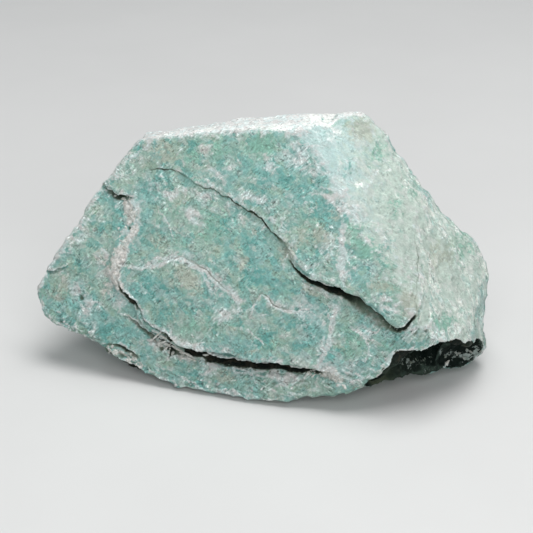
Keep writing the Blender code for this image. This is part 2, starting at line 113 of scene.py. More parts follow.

# Ledges by their place in the picture, the higher layer on the left as the line runs. Along the
# line, in millimetres: the step's height, the depth of the gap under it and how wide the gap
# opens; how dark the painted shade in the gap is, from 0 to 1; and how far that painted shade
# reaches below it. The last number says how far the line wanders to either side. The gaps all
# run into the rock the same way.
INTO_FRONT = (0.15, 0.95, 0.10)
LEDGES = [
    # Upper layer, left part
    ([(146, 170), (158, 168), (170, 169), (180, 172), (188, 178), (196, 185), (206, 188), (214, 188),
      (220, 194), (229, 197), (237, 205), (250, 211), (261, 218), (270, 229), (278, 236), (285, 243)],
     [0, 0.15, 0.25, 0.4, 0.45, 0.5, 0.6, 0.7, 0.7, 0.6, 0.3],
     [0.1, 0.4, 0.1, 0.3, 0.4, 0.5, 0.6, 0.7, 0.7, 0.6, 0.2],
     [0.12, 0.18, 0.1, 0.12, 0.12, 0.14, 0.16, 0.2, 0.2, 0.18, 0.3],
     [0.3, 0.65, 0.55, 0.15, 0.6, 0.4, 0.65, 0.65, 0.85, 0.8, 0.35],
     [0.1, 0.1, 0.1, 0.1, 0.1, 0.1, 0.1, 0.12, 0.14, 0.2, 0.5], 0),
    # Upper layer, right part
    ([(291, 262), (296, 268), (302, 274), (313, 281), (325, 285), (344, 291), (360, 299), (376, 311),
      (391, 324), (398, 328), (404, 327), (412, 318)],
     [0.5, 1, 1.4, 1.8, 1.9, 1.8, 1.7, 1.5, 1.3, 1, 0.6],
     [0.4, 1.2, 1.8, 2, 1.8, 1.3, 0.9, 0.8, 0.9, 1.2, 0.8],
     [0.25, 0.45, 0.6, 0.85, 0.9, 1, 1.2, 1.3, 1.1, 0.45, 0.35],
     [0.5, 0.95, 1, 1, 0.95, 0.75, 0.55, 0.45, 0.5, 0.9, 0.85],
     [0.1, 0.15, 0.2, 0.25, 0.35, 0.7, 1, 1.1, 0.8, 0.25, 0.2], 0),
    # Middle layer, left end
    ([(118, 282), (121, 290), (128, 297), (136, 303), (140, 309)],
     [0.6, 0.9, 1, 1, 0.6], [0.4, 1.2, 1.8, 2, 0.3], [0.3, 0.4, 0.5, 0.65, 0.3],
     [0.1, 0.8, 0.8, 1, 0.3], [0.1, 0.15, 0.2, 0.2, 0.2], 0),
    # Middle layer
    ([(140, 311), (143, 318), (149, 325), (158, 330), (166, 334), (173, 341), (180, 347), (190, 350),
      (200, 352), (209, 355), (220, 358), (236, 360), (256, 363), (266, 364), (278, 364), (290, 367),
      (302, 369), (312, 369), (326, 373)],
     [0.6, 0.8, 1.1, 1.4, 1.5, 1.5, 1.4, 1.3, 1.2, 1.2, 1.2, 1.2, 1, 0.7, 0.2],
     [0.2, 0.3, 0.8, 1.8, 2.8, 3.4, 3.8, 3.8, 3.8, 3.8, 3.4, 3, 2.4, 1.5, 0.3],
     [0.2, 0.3, 0.5, 0.7, 1, 1.15, 1.15, 1.2, 1.25, 1.2, 1.1, 0.9, 0.75, 0.5, 0.3],
     [0.1, 0.25, 0.45, 0.8, 1, 1, 1, 1, 1, 1, 1, 1, 1, 0.9, 0.3],
     [0.2, 0.2, 0.3, 0.3, 0.3, 0.2, 0.2, 0.2, 0.2, 0.2, 0.2, 0.2, 0.2, 0.2, 0.1], 0),
    # Flaked edge below the middle layer
    ([(122, 314), (130, 318), (138, 323), (147, 331), (154, 338), (160, 350)],
     [0.2, 0.6, 0.8, 0.8, 0.5, 0.2], [0, 0.5, 0.8, 0.8, 0.5, 0], [0.3, 0.3, 0.35, 0.35, 0.3, 0.3],
     [0, 0.35, 0.5, 0.6, 0.4, 0], [0.3, 0.3, 0.4, 0.4, 0.3, 0.3], 0),
    # Notch at the upper left
    ([(106, 188), (112, 191), (118, 195), (126, 197), (134, 198)],
     [0.3, 0.8, 0.9, 0.5, 0], [0.4, 1, 1.5, 1.2, 0.2], [0.3, 0.5, 0.8, 0.6, 0.3],
     [0.3, 0.55, 0.75, 0.5, 0.1], [0.2, 0.3, 0.3, 0.3, 0.2], 0),
    # Notch at the tip
    ([(50, 271), (56, 271), (62, 269), (68, 266), (73, 261)],
     [0.9, 0.8, 0.6, 0.4, 0], [0.8, 0.6, 0.4, 0.3, 0], [0.6, 0.5, 0.35, 0.3, 0.3],
     [0.1, 0.1, 0.1, 0.1, 0], [0.2], 0),
    # Lip at the lower left
    ([(102, 345), (110, 344), (119, 345), (127, 348), (134, 354), (142, 362)],
     [0.2, 0.5, 0.6, 0.6, 0.5, 0], [0.2, 0.4, 0.7, 0.7, 0.5, 0], [0.3, 0.3, 0.3, 0.35, 0.35, 0.3],
     [0.2, 0.4, 0.7, 0.8, 0.5, 0], [0.2, 0.2, 0.3, 0.3, 0.3, 0.2], 0),
    # Second lip at the lower left
    ([(108, 353), (114, 356), (121, 361), (130, 364), (140, 369), (150, 375)],
     [0.2, 0.6, 0.7, 0.7, 0.6, 0], [0.4, 1, 1.2, 1.2, 0.9, 0], [0.3, 0.4, 0.5, 0.5, 0.4, 0.3],
     [0.5, 0.8, 0.9, 0.9, 0.7, 0], [0.3, 0.4, 0.5, 0.5, 0.4, 0.2], 0),
    # Brow of the undercut
    ([(368, 381), (378, 374), (388, 366), (396, 357), (404, 352), (414, 351), (426, 346), (438, 342),
      (452, 341), (466, 340), (480, 343)],
     [0.1, 0.2, 0.3, 0.4, 0.4, 0.3, 0.2], [0.4, 2, 3.4, 3.6, 2.4, 1.2, 0.4],
     [0.6, 2.2, 3.6, 3.8, 3, 1.4, 0.6], [0.5, 0.8, 0.95, 1, 1, 1, 0.8], [1.5, 2.5, 3, 3.5, 3.5, 3, 1.5],
     1),
    # Gap behind the splinters
    ([(150, 331), (157, 336), (165, 341), (172, 346), (180, 352)],
     [0, 0.2, 0.2, 0.1, 0], [0.2, 1.2, 1.4, 1.4, 0.6], [0.3, 1.5, 1.7, 1.5, 0.6],
     [0.3, 0.8, 0.9, 0.9, 0.5], [0.2, 0.3, 0.3, 0.3, 0.2], 0),
    # Crease beside the right face
    ([(414, 216), (416, 236), (418, 256), (419, 276), (417, 296), (418, 314)],
     [0, 0.2, 0.3, 0.3, 0.3, 0], [0], [0.1], [0, 0.25, 0.4, 0.35, 0.3, 0.3], [0.1, 0.15], 0),
    # Rim of the lower left scale
    ([(240, 306), (232, 293), (222, 288), (214, 279), (206, 271), (194, 263), (182, 257), (172, 259),
      (158, 265), (142, 269), (126, 266)],
     [0.1, 0.5, 0.7, 0.7, 0.6, 0.4, 0.3, 0.1], [0], [0.2], [0, 0.35, 0.45, 0.35, 0.2, 0.1, 0], [0.15],
     0),
    # Rim of the middle scale
    ([(320, 317), (308, 311), (292, 312), (280, 309), (272, 304), (268, 297), (262, 294), (256, 300),
      (250, 318)],
     [0.1, 0.4, 0.5, 0.6, 0.6, 0.3, 0.1], [0], [0.2], [0, 0.15, 0.35, 0.45, 0.3, 0], [0.15], 0),
]

# Thin veins and pale edges on the big faces, by their place in the picture, with their width in
# millimetres and how strongly they show
VEINS = [
    ([(126, 266), (142, 269), (158, 265), (172, 259), (182, 257), (194, 263), (206, 271), (214, 279),
      (222, 288), (232, 292), (238, 302), (240, 312)], 0.75, 1),
    ([(250, 318), (256, 300), (262, 294), (268, 296), (272, 304), (280, 309), (292, 312), (308, 310),
      (318, 316)], 0.55, 0.9),
    ([(343, 297), (337, 305), (333, 316), (332, 327), (329, 340), (326, 348), (322, 358), (318, 367)],
      0.8, 1),
    ([(345, 226), (343, 240), (343, 262), (342, 282)], 0.9, 0.8),
    ([(349, 326), (358, 331), (366, 338), (372, 334), (381, 330)], 0.5, 0.9),
    ([(366, 338), (369, 352), (364, 366)], 0.45, 0.6),
    ([(300, 197), (310, 193), (322, 194), (332, 199)], 0.4, 0.9),
    ([(156, 205), (166, 221), (172, 236), (178, 247)], 0.3, 0.7),
    ([(238, 326), (248, 331), (258, 338), (266, 347)], 0.35, 0.7),
    ([(127, 316), (137, 322), (147, 331), (153, 337)], 0.8, 1),
    ([(174, 374), (186, 380), (200, 387)], 0.35, 0.8),
    ([(272, 374), (278, 378), (284, 383)], 0.35, 0.9),
    ([(152, 138), (146, 148), (136, 154), (128, 159)], 0.55, 0.9),
    ([(51, 272), (62, 270), (70, 263)], 0.35, 0.6),
    ([(388, 156), (381, 166), (374, 176), (367, 188)], 0.6, 0.7),
    ([(350, 256), (356, 258), (364, 262)], 0.3, 0.8),
]

# Patches of the big faces, by their place in the picture: middle, half length, half height,
# turn in degrees anticlockwise, strength
PATCHES = {
    "teal": [
        (80, 267, 13, 10, -35, 0.45), (101, 230, 6, 5, 0, 0.9), (113, 225, 12, 9, 0, 0.5),
        (138, 147, 5, 9, -20, 1), (157, 177, 7, 4, 0, 0.7), (163, 290, 6, 5, 0, 0.9),
        (156, 294, 18, 13, 0, 0.6), (106, 332, 8, 10, 0, 0.9), (190, 147, 7, 7, 0, 0.6),
        (246, 160, 17, 11, 0, 0.4), (262, 188, 9, 6, 0, 0.7), (292, 184, 20, 12, -25, 0.55),
        (319, 210, 18, 9, 0, 0.65), (254, 275, 11, 9, 0, 1), (275, 285, 12, 9, 0, 0.55),
        (224, 226, 10, 9, 0, 0.6), (250, 245, 12, 7, -20, 0.7), (150, 286, 16, 12, -20, 0.6),
        (262, 315, 18, 6, 0, 0.4), (298, 326, 18, 9, -15, 0.65), (266, 337, 12, 10, 0, 0.8),
        (240, 326, 9, 5, 0, 0.7), (300, 346, 14, 7, 0, 0.6), (374, 264, 12, 7, -15, 0.4),
        (235, 378, 16, 6, 0, 0.6), (182, 370, 10, 5, 0, 0.5), (120, 177, 10, 7, 50, 0.35),
        (385, 243, 8, 11, 0, 0.4), (352, 168, 10, 10, 0, 0.3), (330, 138, 12, 8, 0, 0.3),
        (192, 372, 8, 6, 0, 0.6), (334, 354, 6, 8, 0, 0.6), (150, 240, 10, 8, 0, 0.4),
        (205, 305, 12, 6, 0, 0.5), (165, 312, 14, 7, 0, 0.6), (345, 345, 5, 7, 0, 0.5),
        (318, 378, 14, 5, 0, 0.5), (132, 340, 12, 6, -30, 0.4), (180, 232, 8, 8, 0, 0.4),
    ],
    "green": [
        (194, 152, 8, 11, 0, 0.9), (214, 148, 14, 9, 0, 0.8), (165, 150, 16, 9, 0, 0.5),
        (263, 147, 13, 14, 0, 1), (352, 232, 8, 10, 0, 1), (366, 249, 11, 9, 0, 1),
        (214, 226, 24, 18, -30, 0.6), (196, 324, 14, 8, 0, 0.8), (226, 330, 15, 8, 0, 0.8),
        (354, 342, 15, 14, 0, 0.8), (310, 230, 13, 11, 0, 0.8), (175, 205, 12, 12, -40, 0.6),
        (178, 248, 8, 14, 10, 0.5), (60, 292, 14, 12, 0, 0.8), (392, 288, 14, 10, -20, 0.8),
        (444, 321, 8, 7, 0, 0.8), (378, 150, 8, 14, 20, 0.6), (284, 290, 10, 8, 0, 0.6),
        (196, 264, 20, 8, -20, 0.5), (270, 345, 10, 7, 0, 0.6), (460, 245, 14, 20, 0, 0.5),
        (385, 345, 12, 7, 0, 0.5), (395, 205, 8, 20, 10, 0.4), (350, 121, 15, 7, 0, 0.5),
        (430, 185, 6, 14, -25, 0.5), (385, 265, 10, 8, 0, 0.6),
    ],
    "beige": [
        (61, 287, 9, 10, 0, 0.8), (205, 150, 5, 9, 15, 0.7), (189, 280, 15, 9, -40, 0.9),
        (243, 262, 5, 8, 0, 0.9), (288, 252, 6, 11, -25, 1), (308, 232, 9, 8, 0, 0.5),
        (382, 286, 13, 7, -15, 0.8), (408, 302, 7, 12, 15, 0.9), (226, 376, 14, 6, 0, 0.7),
        (250, 352, 13, 4, 0, 0.6), (176, 200, 10, 6, -20, 0.6), (162, 150, 16, 9, -10, 0.7),
        (148, 162, 8, 8, 0, 0.4), (100, 250, 5, 8, 20, 0.6), (312, 288, 12, 5, -20, 0.8),
        (150, 147, 10, 7, 0, 0.5), (440, 255, 10, 16, 0, 0.6), (380, 126, 9, 14, 35, 0.9),
        (302, 233, 8, 8, 0, 0.6), (62, 296, 8, 6, 0, 0.6), (231, 334, 8, 5, 0, 0.6),
        (330, 262, 6, 14, 0, 0.4), (322, 236, 12, 10, 0, 0.7), (214, 250, 8, 7, 0, 0.4),
        (160, 240, 9, 9, 0, 0.5), (336, 216, 8, 8, 0, 0.5),
    ],
    "pale": [
        (122, 172, 12, 6, 50, 0.3), (174, 194, 14, 5, -8, 0.9), (206, 197, 13, 5, -10, 0.9),
        (195, 216, 11, 5, -42, 1), (216, 172, 8, 7, 0, 0.6), (252, 198, 17, 4, -5, 1),
        (268, 166, 11, 5, -50, 0.9), (299, 157, 8, 12, 25, 1), (88, 306, 7, 11, 20, 0.8),
        (76, 290, 6, 6, 0, 0.9), (103, 262, 6, 10, 0, 0.6), (150, 263, 12, 4, 0, 0.6),
        (224, 314, 15, 6, 0, 0.8), (214, 288, 14, 4, -45, 0.6), (296, 309, 18, 5, 0, 0.9),
        (367, 328, 10, 10, 0, 0.5), (336, 371, 18, 7, 0, 0.8), (190, 344, 18, 4, -12, 0.8),
        (284, 380, 22, 6, 0, 0.7), (385, 303, 9, 4, -20, 0.7), (226, 218, 5, 4, 0, 0.6),
        (345, 209, 7, 5, 0, 1), (236, 214, 12, 4, -25, 0.5), (285, 226, 12, 6, -40, 0.5),
        (212, 184, 10, 5, 0, 0.4), (330, 246, 6, 12, 0, 0.5), (160, 205, 6, 5, 0, 0.5),
        (320, 272, 12, 5, -15, 0.5), (300, 300, 12, 5, -20, 0.5), (152, 345, 10, 6, -30, 0.6),
        (207, 371, 10, 5, 0, 0.6), (120, 300, 10, 6, -20, 0.5), (232, 168, 6, 4, 0, 0.5),
        (78, 240, 14, 5, 55, 0.5), (300, 340, 8, 4, 0, 0.4), (420, 330, 12, 5, 10, 0.6),
        (205, 150, 5, 8, 0, 0.9), (340, 196, 10, 8, -20, 0.8), (357, 217, 8, 8, 0, 0.7),
        # From (466, 354) on, the pale patches lie in the undercut: its chips and rim, painted lighter
        # as if lit
        (318, 168, 8, 9, 0, 0.6), (466, 354, 8, 4, 0, 1), (445, 354, 8, 3, -10, 0.8),
        (413, 364, 13, 3, 25, 0.8), (478, 353, 4, 10, 0, 1.3), (434, 376, 12, 2, 12, 0.7),
        (455, 368, 8, 2, 20, 0.6),
    ],
}

# Broad soft bands: their line in the picture, half width in millimetres and strength
BANDS = {
    "pale": [
        ([(298, 122), (306, 140), (318, 160), (332, 182), (350, 206), (368, 230), (386, 246),
          (400, 266), (408, 288)], 2.2, 0.35),
        ([(150, 263), (170, 260), (186, 262), (206, 270), (222, 286), (240, 300)], 0.85, 0.95),
        ([(268, 302), (284, 309), (318, 308)], 0.7, 0.75),
        ([(133, 200), (139, 218), (134, 236), (122, 250), (114, 272), (120, 290)], 1.1, 0.8),
        ([(218, 312), (236, 310)], 0.8, 0.6),
        ([(322, 320), (320, 345), (319, 370)], 0.7, 0.6),
        ([(342, 222), (342, 278)], 0.8, 0.9),
        ([(335, 312), (331, 340), (322, 366)], 0.6, 0.8),
        ([(368, 226), (374, 250)], 0.9, 0.6),
        ([(142, 134), (168, 128), (205, 125), (240, 121), (275, 119), (300, 118)], 1.7, 1),
        ([(330, 118), (345, 114), (360, 112), (376, 122)], 1.2, 0.3),
        ([(55, 262), (74, 238), (96, 202), (110, 180)], 0.7, 0.4),
    ],
    "crust": [
        ([(129, 206), (131, 214), (130, 222)], 1.1, 1),
        ([(137, 232), (127, 241), (119, 251), (114, 262), (114, 272), (118, 286)], 1.3, 0.8),
        ([(101, 258), (106, 268), (110, 282), (108, 296)], 1.6, 0.45),
        ([(152, 340), (162, 346), (170, 350), (181, 356), (192, 359)], 0.8, 0.6),
        ([(300, 372), (314, 370), (328, 375), (340, 381)], 0.8, 0.7),
        ([(108, 349), (118, 352), (130, 358), (140, 365)], 0.8, 0.75),
    ],
    "hatched": [
        ([(384, 368), (396, 352), (410, 340), (424, 332), (434, 320)], 2.4, 1),
    ],
    "rugged": [
        ([(170, 372), (200, 382), (240, 386), (290, 388), (340, 384), (372, 376)], 2.2, 0.8),
        ([(60, 318), (80, 332), (100, 345), (125, 362), (155, 376)], 1.6, 0.9),
        ([(150, 334), (164, 342), (178, 352), (194, 360)], 1.3, 0.7),
        ([(76, 288), (82, 300)], 1.4, 0.7),
        ([(72, 262), (84, 286), (94, 312)], 3, 0.3),
        ([(196, 364), (240, 372), (300, 376)], 1.2, 0.7),
        ([(390, 292), (404, 322), (412, 312)], 1.2, 0.4),
    ],
}

# Small pits by their place in the picture, with their radius and depth in millimetres
PITS = [
    (129, 228, 0.4, 0.5), (81, 298, 0.7, 0.5), (128, 216, 0.3, 0.4), (163, 337, 0.6, 0.8),
    (161, 349, 0.5, 0.7),
]

# Loose crumbs in the cracks and the undercut: the line that they lie along in the picture, how
# many, how far they stray in pixels, smallest and largest size in millimetres, whether they are
# crust or pale grains, and how much painted shade darkens them
CRUMB_RUNS = [
    ([(154, 338), (164, 345), (172, 351), (184, 356), (194, 360)], 16, 2.4, 0.4, 0.9, "crust", 0.2),
    ([(204, 361), (236, 367), (262, 370), (296, 372)], 7, 1.6, 0.3, 0.6, "pale", 0.5),
    ([(304, 371), (318, 371), (334, 376), (346, 384)], 22, 2.4, 0.3, 0.8, "crust", 0),
    ([(127, 202), (129, 214), (128, 224), (122, 240), (114, 256), (115, 272), (119, 284)], 30, 5, 0.3,
      0.7, "crust", 0),
    ([(112, 193), (120, 198), (130, 200)], 8, 1.5, 0.4, 0.8, "crust", 0.2),
    ([(108, 349), (118, 352), (128, 358), (138, 365)], 16, 1.8, 0.4, 1, "crust", 0.15),
    ([(60, 320), (76, 331), (92, 341)], 12, 2, 0.4, 1, "pale", 0),
    ([(376, 312), (392, 327), (402, 330)], 5, 1.5, 0.3, 0.6, "crust", 0.4),
    ([(402, 367), (412, 362), (426, 359)], 6, 1.6, 0.3, 0.7, "pale", 0.5),
    ([(437, 353), (450, 355)], 5, 1.5, 0.3, 0.8, "pale", 0.48),
    ([(455, 354), (472, 352)], 10, 2.2, 0.3, 0.9, "pale", 0.36),
    ([(444, 366), (449, 362)], 3, 0.7, 0.5, 0.9, "pale", 0.05),
    ([(474, 346), (480, 352), (481, 358)], 5, 1.5, 0.3, 0.8, "pale", 0.4),
    ([(383, 301), (391, 299)], 12, 1.2, 0.4, 0.8, "pale", 0),
    ([(150, 384), (200, 388), (260, 390), (320, 388)], 22, 2.5, 0.3, 0.9, "pale", 0),
]
# Splinters in the cracks: their two ends in the picture and their width in millimetres
SPLINTERS = [
    ((154, 340), (162, 330), 0.45), ((156, 345), (167, 341), 0.45), ((161, 342), (171, 347), 0.8),
    ((161, 353), (169, 347), 0.45), ((160, 335), (168, 340), 0.5), ((175, 348), (183, 352), 0.55),
    ((179, 352), (187, 354), 0.5), ((185, 353), (193, 358), 0.6), ((186, 357), (192, 360), 0.45),
    ((158, 339), (164, 333), 0.35), ((164, 347), (172, 344), 0.4), ((171, 345), (178, 350), 0.5),
    ((200, 356), (209, 355), 0.55), ((444, 366), (449, 362), 0.7), ((424, 378), (441, 374), 0.5),
]

# Hollows of the undercut right end: centre and radii in millimetres, and turn about Z in degrees
HOLLOWS = [
    ((36.6, -21.7, 7.3), (11.2, 4.1, 5.3), 40), ((44.4, -15.6, 6.1), (5.1, 3.9, 4.5), 48),
    ((28.2, -25.8, 6.1), (6.1, 3, 3.4), 15),
]

# The crumbs are copies of three chips, and the splinters of one: their shapes and how far their
# corners are knocked out of place, in millimetres, and how strongly they are coloured. Then how
# much painted shade darkens the splinters, how far they lie off the skin, and what the random draws
# start from
CHIP_SHAPES = [(1, 0.8, 0.6), (1, 0.6, 0.5), (0.9, 1, 0.4)]
SPLINTER_SHAPE = (1, 0.28, 0.22)
CHIP_KNOCK = 0.09
CHIP_COLOUR = 0.9
SPLINTER_DARK = 0.12
SPLINTER_LIFT = 0.15
CRUMB_SEED = 11
SPLINTER_SEED = 7

# Random values on the corners of a grid, from which all the noise on the skin is made
LATTICE_SEED = 20
LATTICE_SIZE = 48
LATTICE = np.random.default_rng(LATTICE_SEED).uniform(-1, 1, (LATTICE_SIZE,) * 3 + (3,))


# Seeing


def seen_at(skin, pixel):
    """The point of the stone's skin under a pixel of the picture, in millimetres."""
    across, down = pixel
    half = PICTURE_PIXELS / 2
    ray = LOOKING * FOCAL_PIXELS + PICTURE_RIGHT * (across - half) + PICTURE_UP * (half - down)
    hit = skin.ray_cast(EYE, ray.normalized())[0]
    if hit is None:
        hit = skin.find_nearest(EYE + ray.normalized() * EYE_DISTANCE)[0]
    return np.array(hit) / MM


def face_axes(face):
    """Two directions in the plane of a big face, to the right and up as its viewer sees them."""
    out = np.array(FACES[face])
    out = out / np.linalg.norm(out)
    right = np.cross((0, 0, 1), out)
    right = right / np.linalg.norm(right)
    return np.stack([right, np.cross(out, right)], axis=1)


def line_on(skin, face, pixels):
    return np.array([seen_at(skin, p) for p in pixels]) @ face_axes(face)


# Noise on the skin


def smoothstep(value, low, high):
    share = np.clip((value - low) / (high - low), 0, 1)
    return share * share * (3 - 2 * share)


def lattice_values(cells):
    x, y, z = (cells % LATTICE_SIZE).astype(int).T
    return LATTICE[x, y, z]


def noise_field(points_mm, cell, offset):
    """Smooth noise, about -1 to 1, with lumps of one cell in millimetres."""
    places = points_mm / cell + offset * np.array((1.37, 2.71, 4.13))
    base = np.floor(places)
    part = places - base
    ease = part**3 * (part * (part * 6 - 15) + 10)
    total = np.zeros(len(places))
    for corner in product((0, 1), repeat=3):
        slope = lattice_values(base + corner)
        weight = np.where(np.array(corner) == 1, ease, 1 - ease).prod(axis=1)
        total += weight * (slope * (part - corner)).sum(axis=1)
    return 1.7 * total


def scalloped_field(points_mm, cell, offset):
    """Shallow tilted hollows that meet in sharp ridges, from about -0.5 to 0.5."""
    places = points_mm / cell + offset * np.array((3.11, 1.93, 2.47))
    base = np.floor(places)
    lowest = np.full(len(places), np.inf)
    for corner in product((-1, 0, 1), repeat=3):
        cells = base + corner
        away = places - (cells + 0.5 + 0.45 * lattice_values(cells))
        lean = lattice_values(cells + 17)
        bowl = (away**2).sum(axis=1) + 0.55 * (away * lean).sum(axis=1)
        lowest = np.minimum(lowest, bowl)
    return lowest - 0.3


def plates(points_mm, cell, level, offset):
    """Broken plates: the height left over when smooth noise is cut into levels with steep rims,
    and how near each point lies to a rim."""
    swell = noise_field(points_mm, cell, offset) + 0.4 * noise_field(points_mm, cell / 2.6, offset + 1)
    swell += 0.16 * noise_field(points_mm, cell / 7, offset + 2)
    levels = swell / level
    base = np.floor(levels)
    part = levels - base
    height = base + smoothstep(part, 0.42, 0.58) - levels
    return height, np.exp(-(((part - 0.54) / 0.09) ** 2))


# Lines on the skin


def along_line(points_2d, line):
    """Signed distance from each point to a polyline, positive on its left, the share of its
    length at which the point lies, and how far it lies past either end."""
    starts, legs = line[:-1], np.diff(line, axis=0)
    lengths = np.linalg.norm(legs, axis=1)
    before = np.concatenate([[0], np.cumsum(lengths)])
    best = np.full(len(points_2d), np.inf)
    signed = np.zeros(len(points_2d))
    share = np.zeros(len(points_2d))
    past = np.zeros(len(points_2d))
    total = np.zeros(len(points_2d))
    for number, (start, leg, length, run) in enumerate(zip(starts, legs, lengths, before), 1):
        offset = points_2d - start
        free = offset @ leg / length**2
        t = np.clip(free, 0, 1)
        distance = np.linalg.norm(offset - t[:, None] * leg, axis=1)
        across = (leg[0] * offset[:, 1] - leg[1] * offset[:, 0]) / length
        outside = np.zeros(len(points_2d))
        if number == 1:
            outside += np.maximum(-free, 0) * length
        if number == len(legs):
            outside += np.maximum(free - 1, 0) * length
        nearer = distance < best - 1e-9
        best = np.where(nearer, distance, best)
        here = np.where(outside > 0, across, np.sign(across) * distance)
        signed = np.where(nearer, here, signed)
        weight = 1 / (distance**4 + 0.01)
        share += weight * (run + t * length) / before[-1]
        past += weight * outside
        total += weight
    return signed, share / total, past / total


def profile_along(values, share):
    return np.interp(share, np.linspace(0, 1, len(values)), values)


# The mesh


def vertex_values(source, name):
    flat = np.empty(len(source) * 3, np.float32)
    source.foreach_get(name, flat)
    return flat.reshape(-1, 3).astype(float)


def points_and_outward(stone):
    mesh = stone.data
    return vertex_values(mesh.vertices, "co") / MM, vertex_values(mesh.vertex_normals, "vector")


def move_vertices(stone, points_mm):
    stone.data.vertices.foreach_set("co", (points_mm * MM).astype(np.float32).ravel())
    stone.data.update()


def select_only(obj):
    bpy.ops.object.select_all(action="DESELECT")
    obj.select_set(True)
    bpy.context.view_layer.objects.active = obj


def finish_with(obj, kind, **settings):
    """Puts one modifier on a piece and applies it."""
    select_only(obj)
    bpy.ops.object.modifier_add(type=kind)
    made = obj.modifiers[-1]
    for name, value in settings.items():
        setattr(made, name, value)
    bpy.ops.object.modifier_apply(modifier=made.name)


def skin_tree(stone):
    return BVHTree.FromObject(stone, bpy.context.evaluated_depsgraph_get())


def edge_ends(stone):
    edges = np.empty(len(stone.data.edges) * 2, np.int32)
    stone.data.edges.foreach_get("vertices", edges)
    return edges.reshape(-1, 2).T


def neighbour_mean(points, first, last, count):
    total = [
        np.bincount(first, points[last, axis], len(points))
        + np.bincount(last, points[first, axis], len(points))
        for axis in range(3)
    ]
    return np.stack(total, axis=1) / count[:, None]


def evened(stone, shares):
    """The skin's points, drawn towards the mean of their neighbours by each share in turn. A
    share below nought swells the skin back, so that pairs of shares even it without shrinking."""
    points, _ = points_and_outward(stone)
    first, last = edge_ends(stone)
    count = np.bincount(first, minlength=len(points)) + np.bincount(last, minlength=len(points))
    for share in shares:
        points = points + share * (neighbour_mean(points, first, last, count) - points)
    return points


def rough_chunk(node):
    """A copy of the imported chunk, its loose triangles joined, on an even fine grain."""
    stone = bpy.data.objects.new("amazonite_stone", node.data.copy())
    bpy.context.scene.collection.objects.link(stone)
    select_only(stone)
    bpy.ops.object.mode_set(mode="EDIT")
    bpy.ops.mesh.select_all(action="SELECT")
    bpy.ops.mesh.remove_doubles(threshold=JOIN_WITHIN)
    bpy.ops.object.mode_set(mode="OBJECT")
    finish_with(stone, "REMESH", mode="VOXEL", voxel_size=GRAIN * MM)
    points, skin = evened(stone, EVENING), skin_tree(stone)
    for pixel, radius, push in NUDGES:
        away = np.linalg.norm(points - seen_at(skin, pixel), axis=1)
        points += np.exp(-((away / radius) ** 2))[:, None] * np.array(push)
    move_vertices(stone, points)
    return stone


def keep_on_skin(stone, name, values):
    made = stone.data.attributes.new(name, "FLOAT", "POINT")
    made.data.foreach_set("value", values.astype(np.float32))


def kept(stone, name):
    values = np.empty(len(stone.data.vertices), np.float32)
    stone.data.attributes[name].data.foreach_get("value", values)
    return values.astype(float)


def facing(outward, face, low, high):
    return smoothstep(outward @ np.array(FACES[face]), low, high)


def seen_faces(outward):
    """1 where the skin belongs to the faces that the picture shows, 0 behind and below."""
    shown = [facing(outward, face, 0.1, 0.45) for face in ("front", "shoulder", "right", "top")]
    return np.max(shown, axis=0)


def near_line(flat, line, reach):
    past_low = (flat > line.min(axis=0) - reach).all(axis=1)
    return past_low & (flat < line.max(axis=0) + reach).all(axis=1)


def wander(points, size, cell, offset):
    """Two random shifts, in millimetres, that make a drawn line or patch ragged."""
    return size * np.stack([noise_field(points, cell, seed) for seed in (offset, offset + 1)], axis=1)


def gap_profile(distance, opens):
    """1 just under the lip of a gap, falling gently to nought at its lower edge."""
    under_lip = smoothstep(distance, 0.12, -0.12)
    return under_lip * (1 - smoothstep(-distance, 0.3 * opens, 1.15 * opens + 0.1))


def cut_ledges(stone, skin):
    """Steepens each ledge to a crisp lip and opens the gap under it. Keeps on the skin how far
    each point lies from the nearest lip, how wide the gap under that lip opens, and that gap's
    painted shade: how far it reaches and how dark it is."""
    points, _ = points_and_outward(stone)
    moved = points.copy()
    nearest = np.full(len(points), FAR)
    looks = {name: np.full(len(points), THIN) for name in ("opens", "shade")}
    looks["dark"] = np.zeros(len(points))
    out = np.array(FACES["front"])
    flat = points @ face_axes("front")
    for pixels, *profiles, sway in LEDGES:
        line = line_on(skin, "front", pixels)
        depth = points @ out - np.mean([seen_at(skin, pixel) @ out for pixel in pixels])
        near = np.flatnonzero(near_line(flat, line, 6) & (np.abs(depth) < 12))
        here = points[near]
        shifted = flat[near] + wander(here, 0.30, 1.9, 31) + wander(here, 0.16, 0.7, 33)
        shifted += wander(here, sway, 4.2, 37)
        distance, share, past = along_line(shifted, line)
        step, gap, opens, dark, shade = (profile_along(values, share) for values in profiles)
        shown = np.exp(-((past / 0.8) ** 2))
        crisp = np.tanh(distance / 0.16) - np.tanh(distance / 0.9)
        lift = 0.5 * step * crisp * np.exp(-((distance / 4.5) ** 2))
        sink = gap * gap_profile(distance, opens)
        push = lift[:, None] * out + sink[:, None] * np.array(INTO_FRONT)
        moved[near] += shown[:, None] * push
        beyond = -distance - opens - GAP_FADE * shade
        fade = shown * (1 - smoothstep(distance, 0.4, 1.0)) * (1 - smoothstep(beyond, 0.1, 0.6))
        closer = np.abs(distance) + past < np.abs(nearest[near])
        chosen = near[closer]
        nearest[chosen] = distance[closer]
        for name, values in (("opens", opens), ("shade", shade), ("dark", dark * fade)):
            looks[name][chosen] = values[closer]
    keep_on_skin(stone, "gap_away", nearest)
    for name, values in looks.items():
        keep_on_skin(stone, "gap_" + name, values)
    return moved


def sink_pits(points, skin):
    """Depth of the small pits at each point, in millimetres."""
    depth = np.zeros(len(points))
    ragged = 1 + 0.35 * noise_field(points, 0.8, 35)
    for across, down, radius, deep in PITS:
        away = np.linalg.norm(points - seen_at(skin, (across, down)), axis=1)
        depth += deep * np.exp(-((away * ragged / radius) ** 4))
    return depth


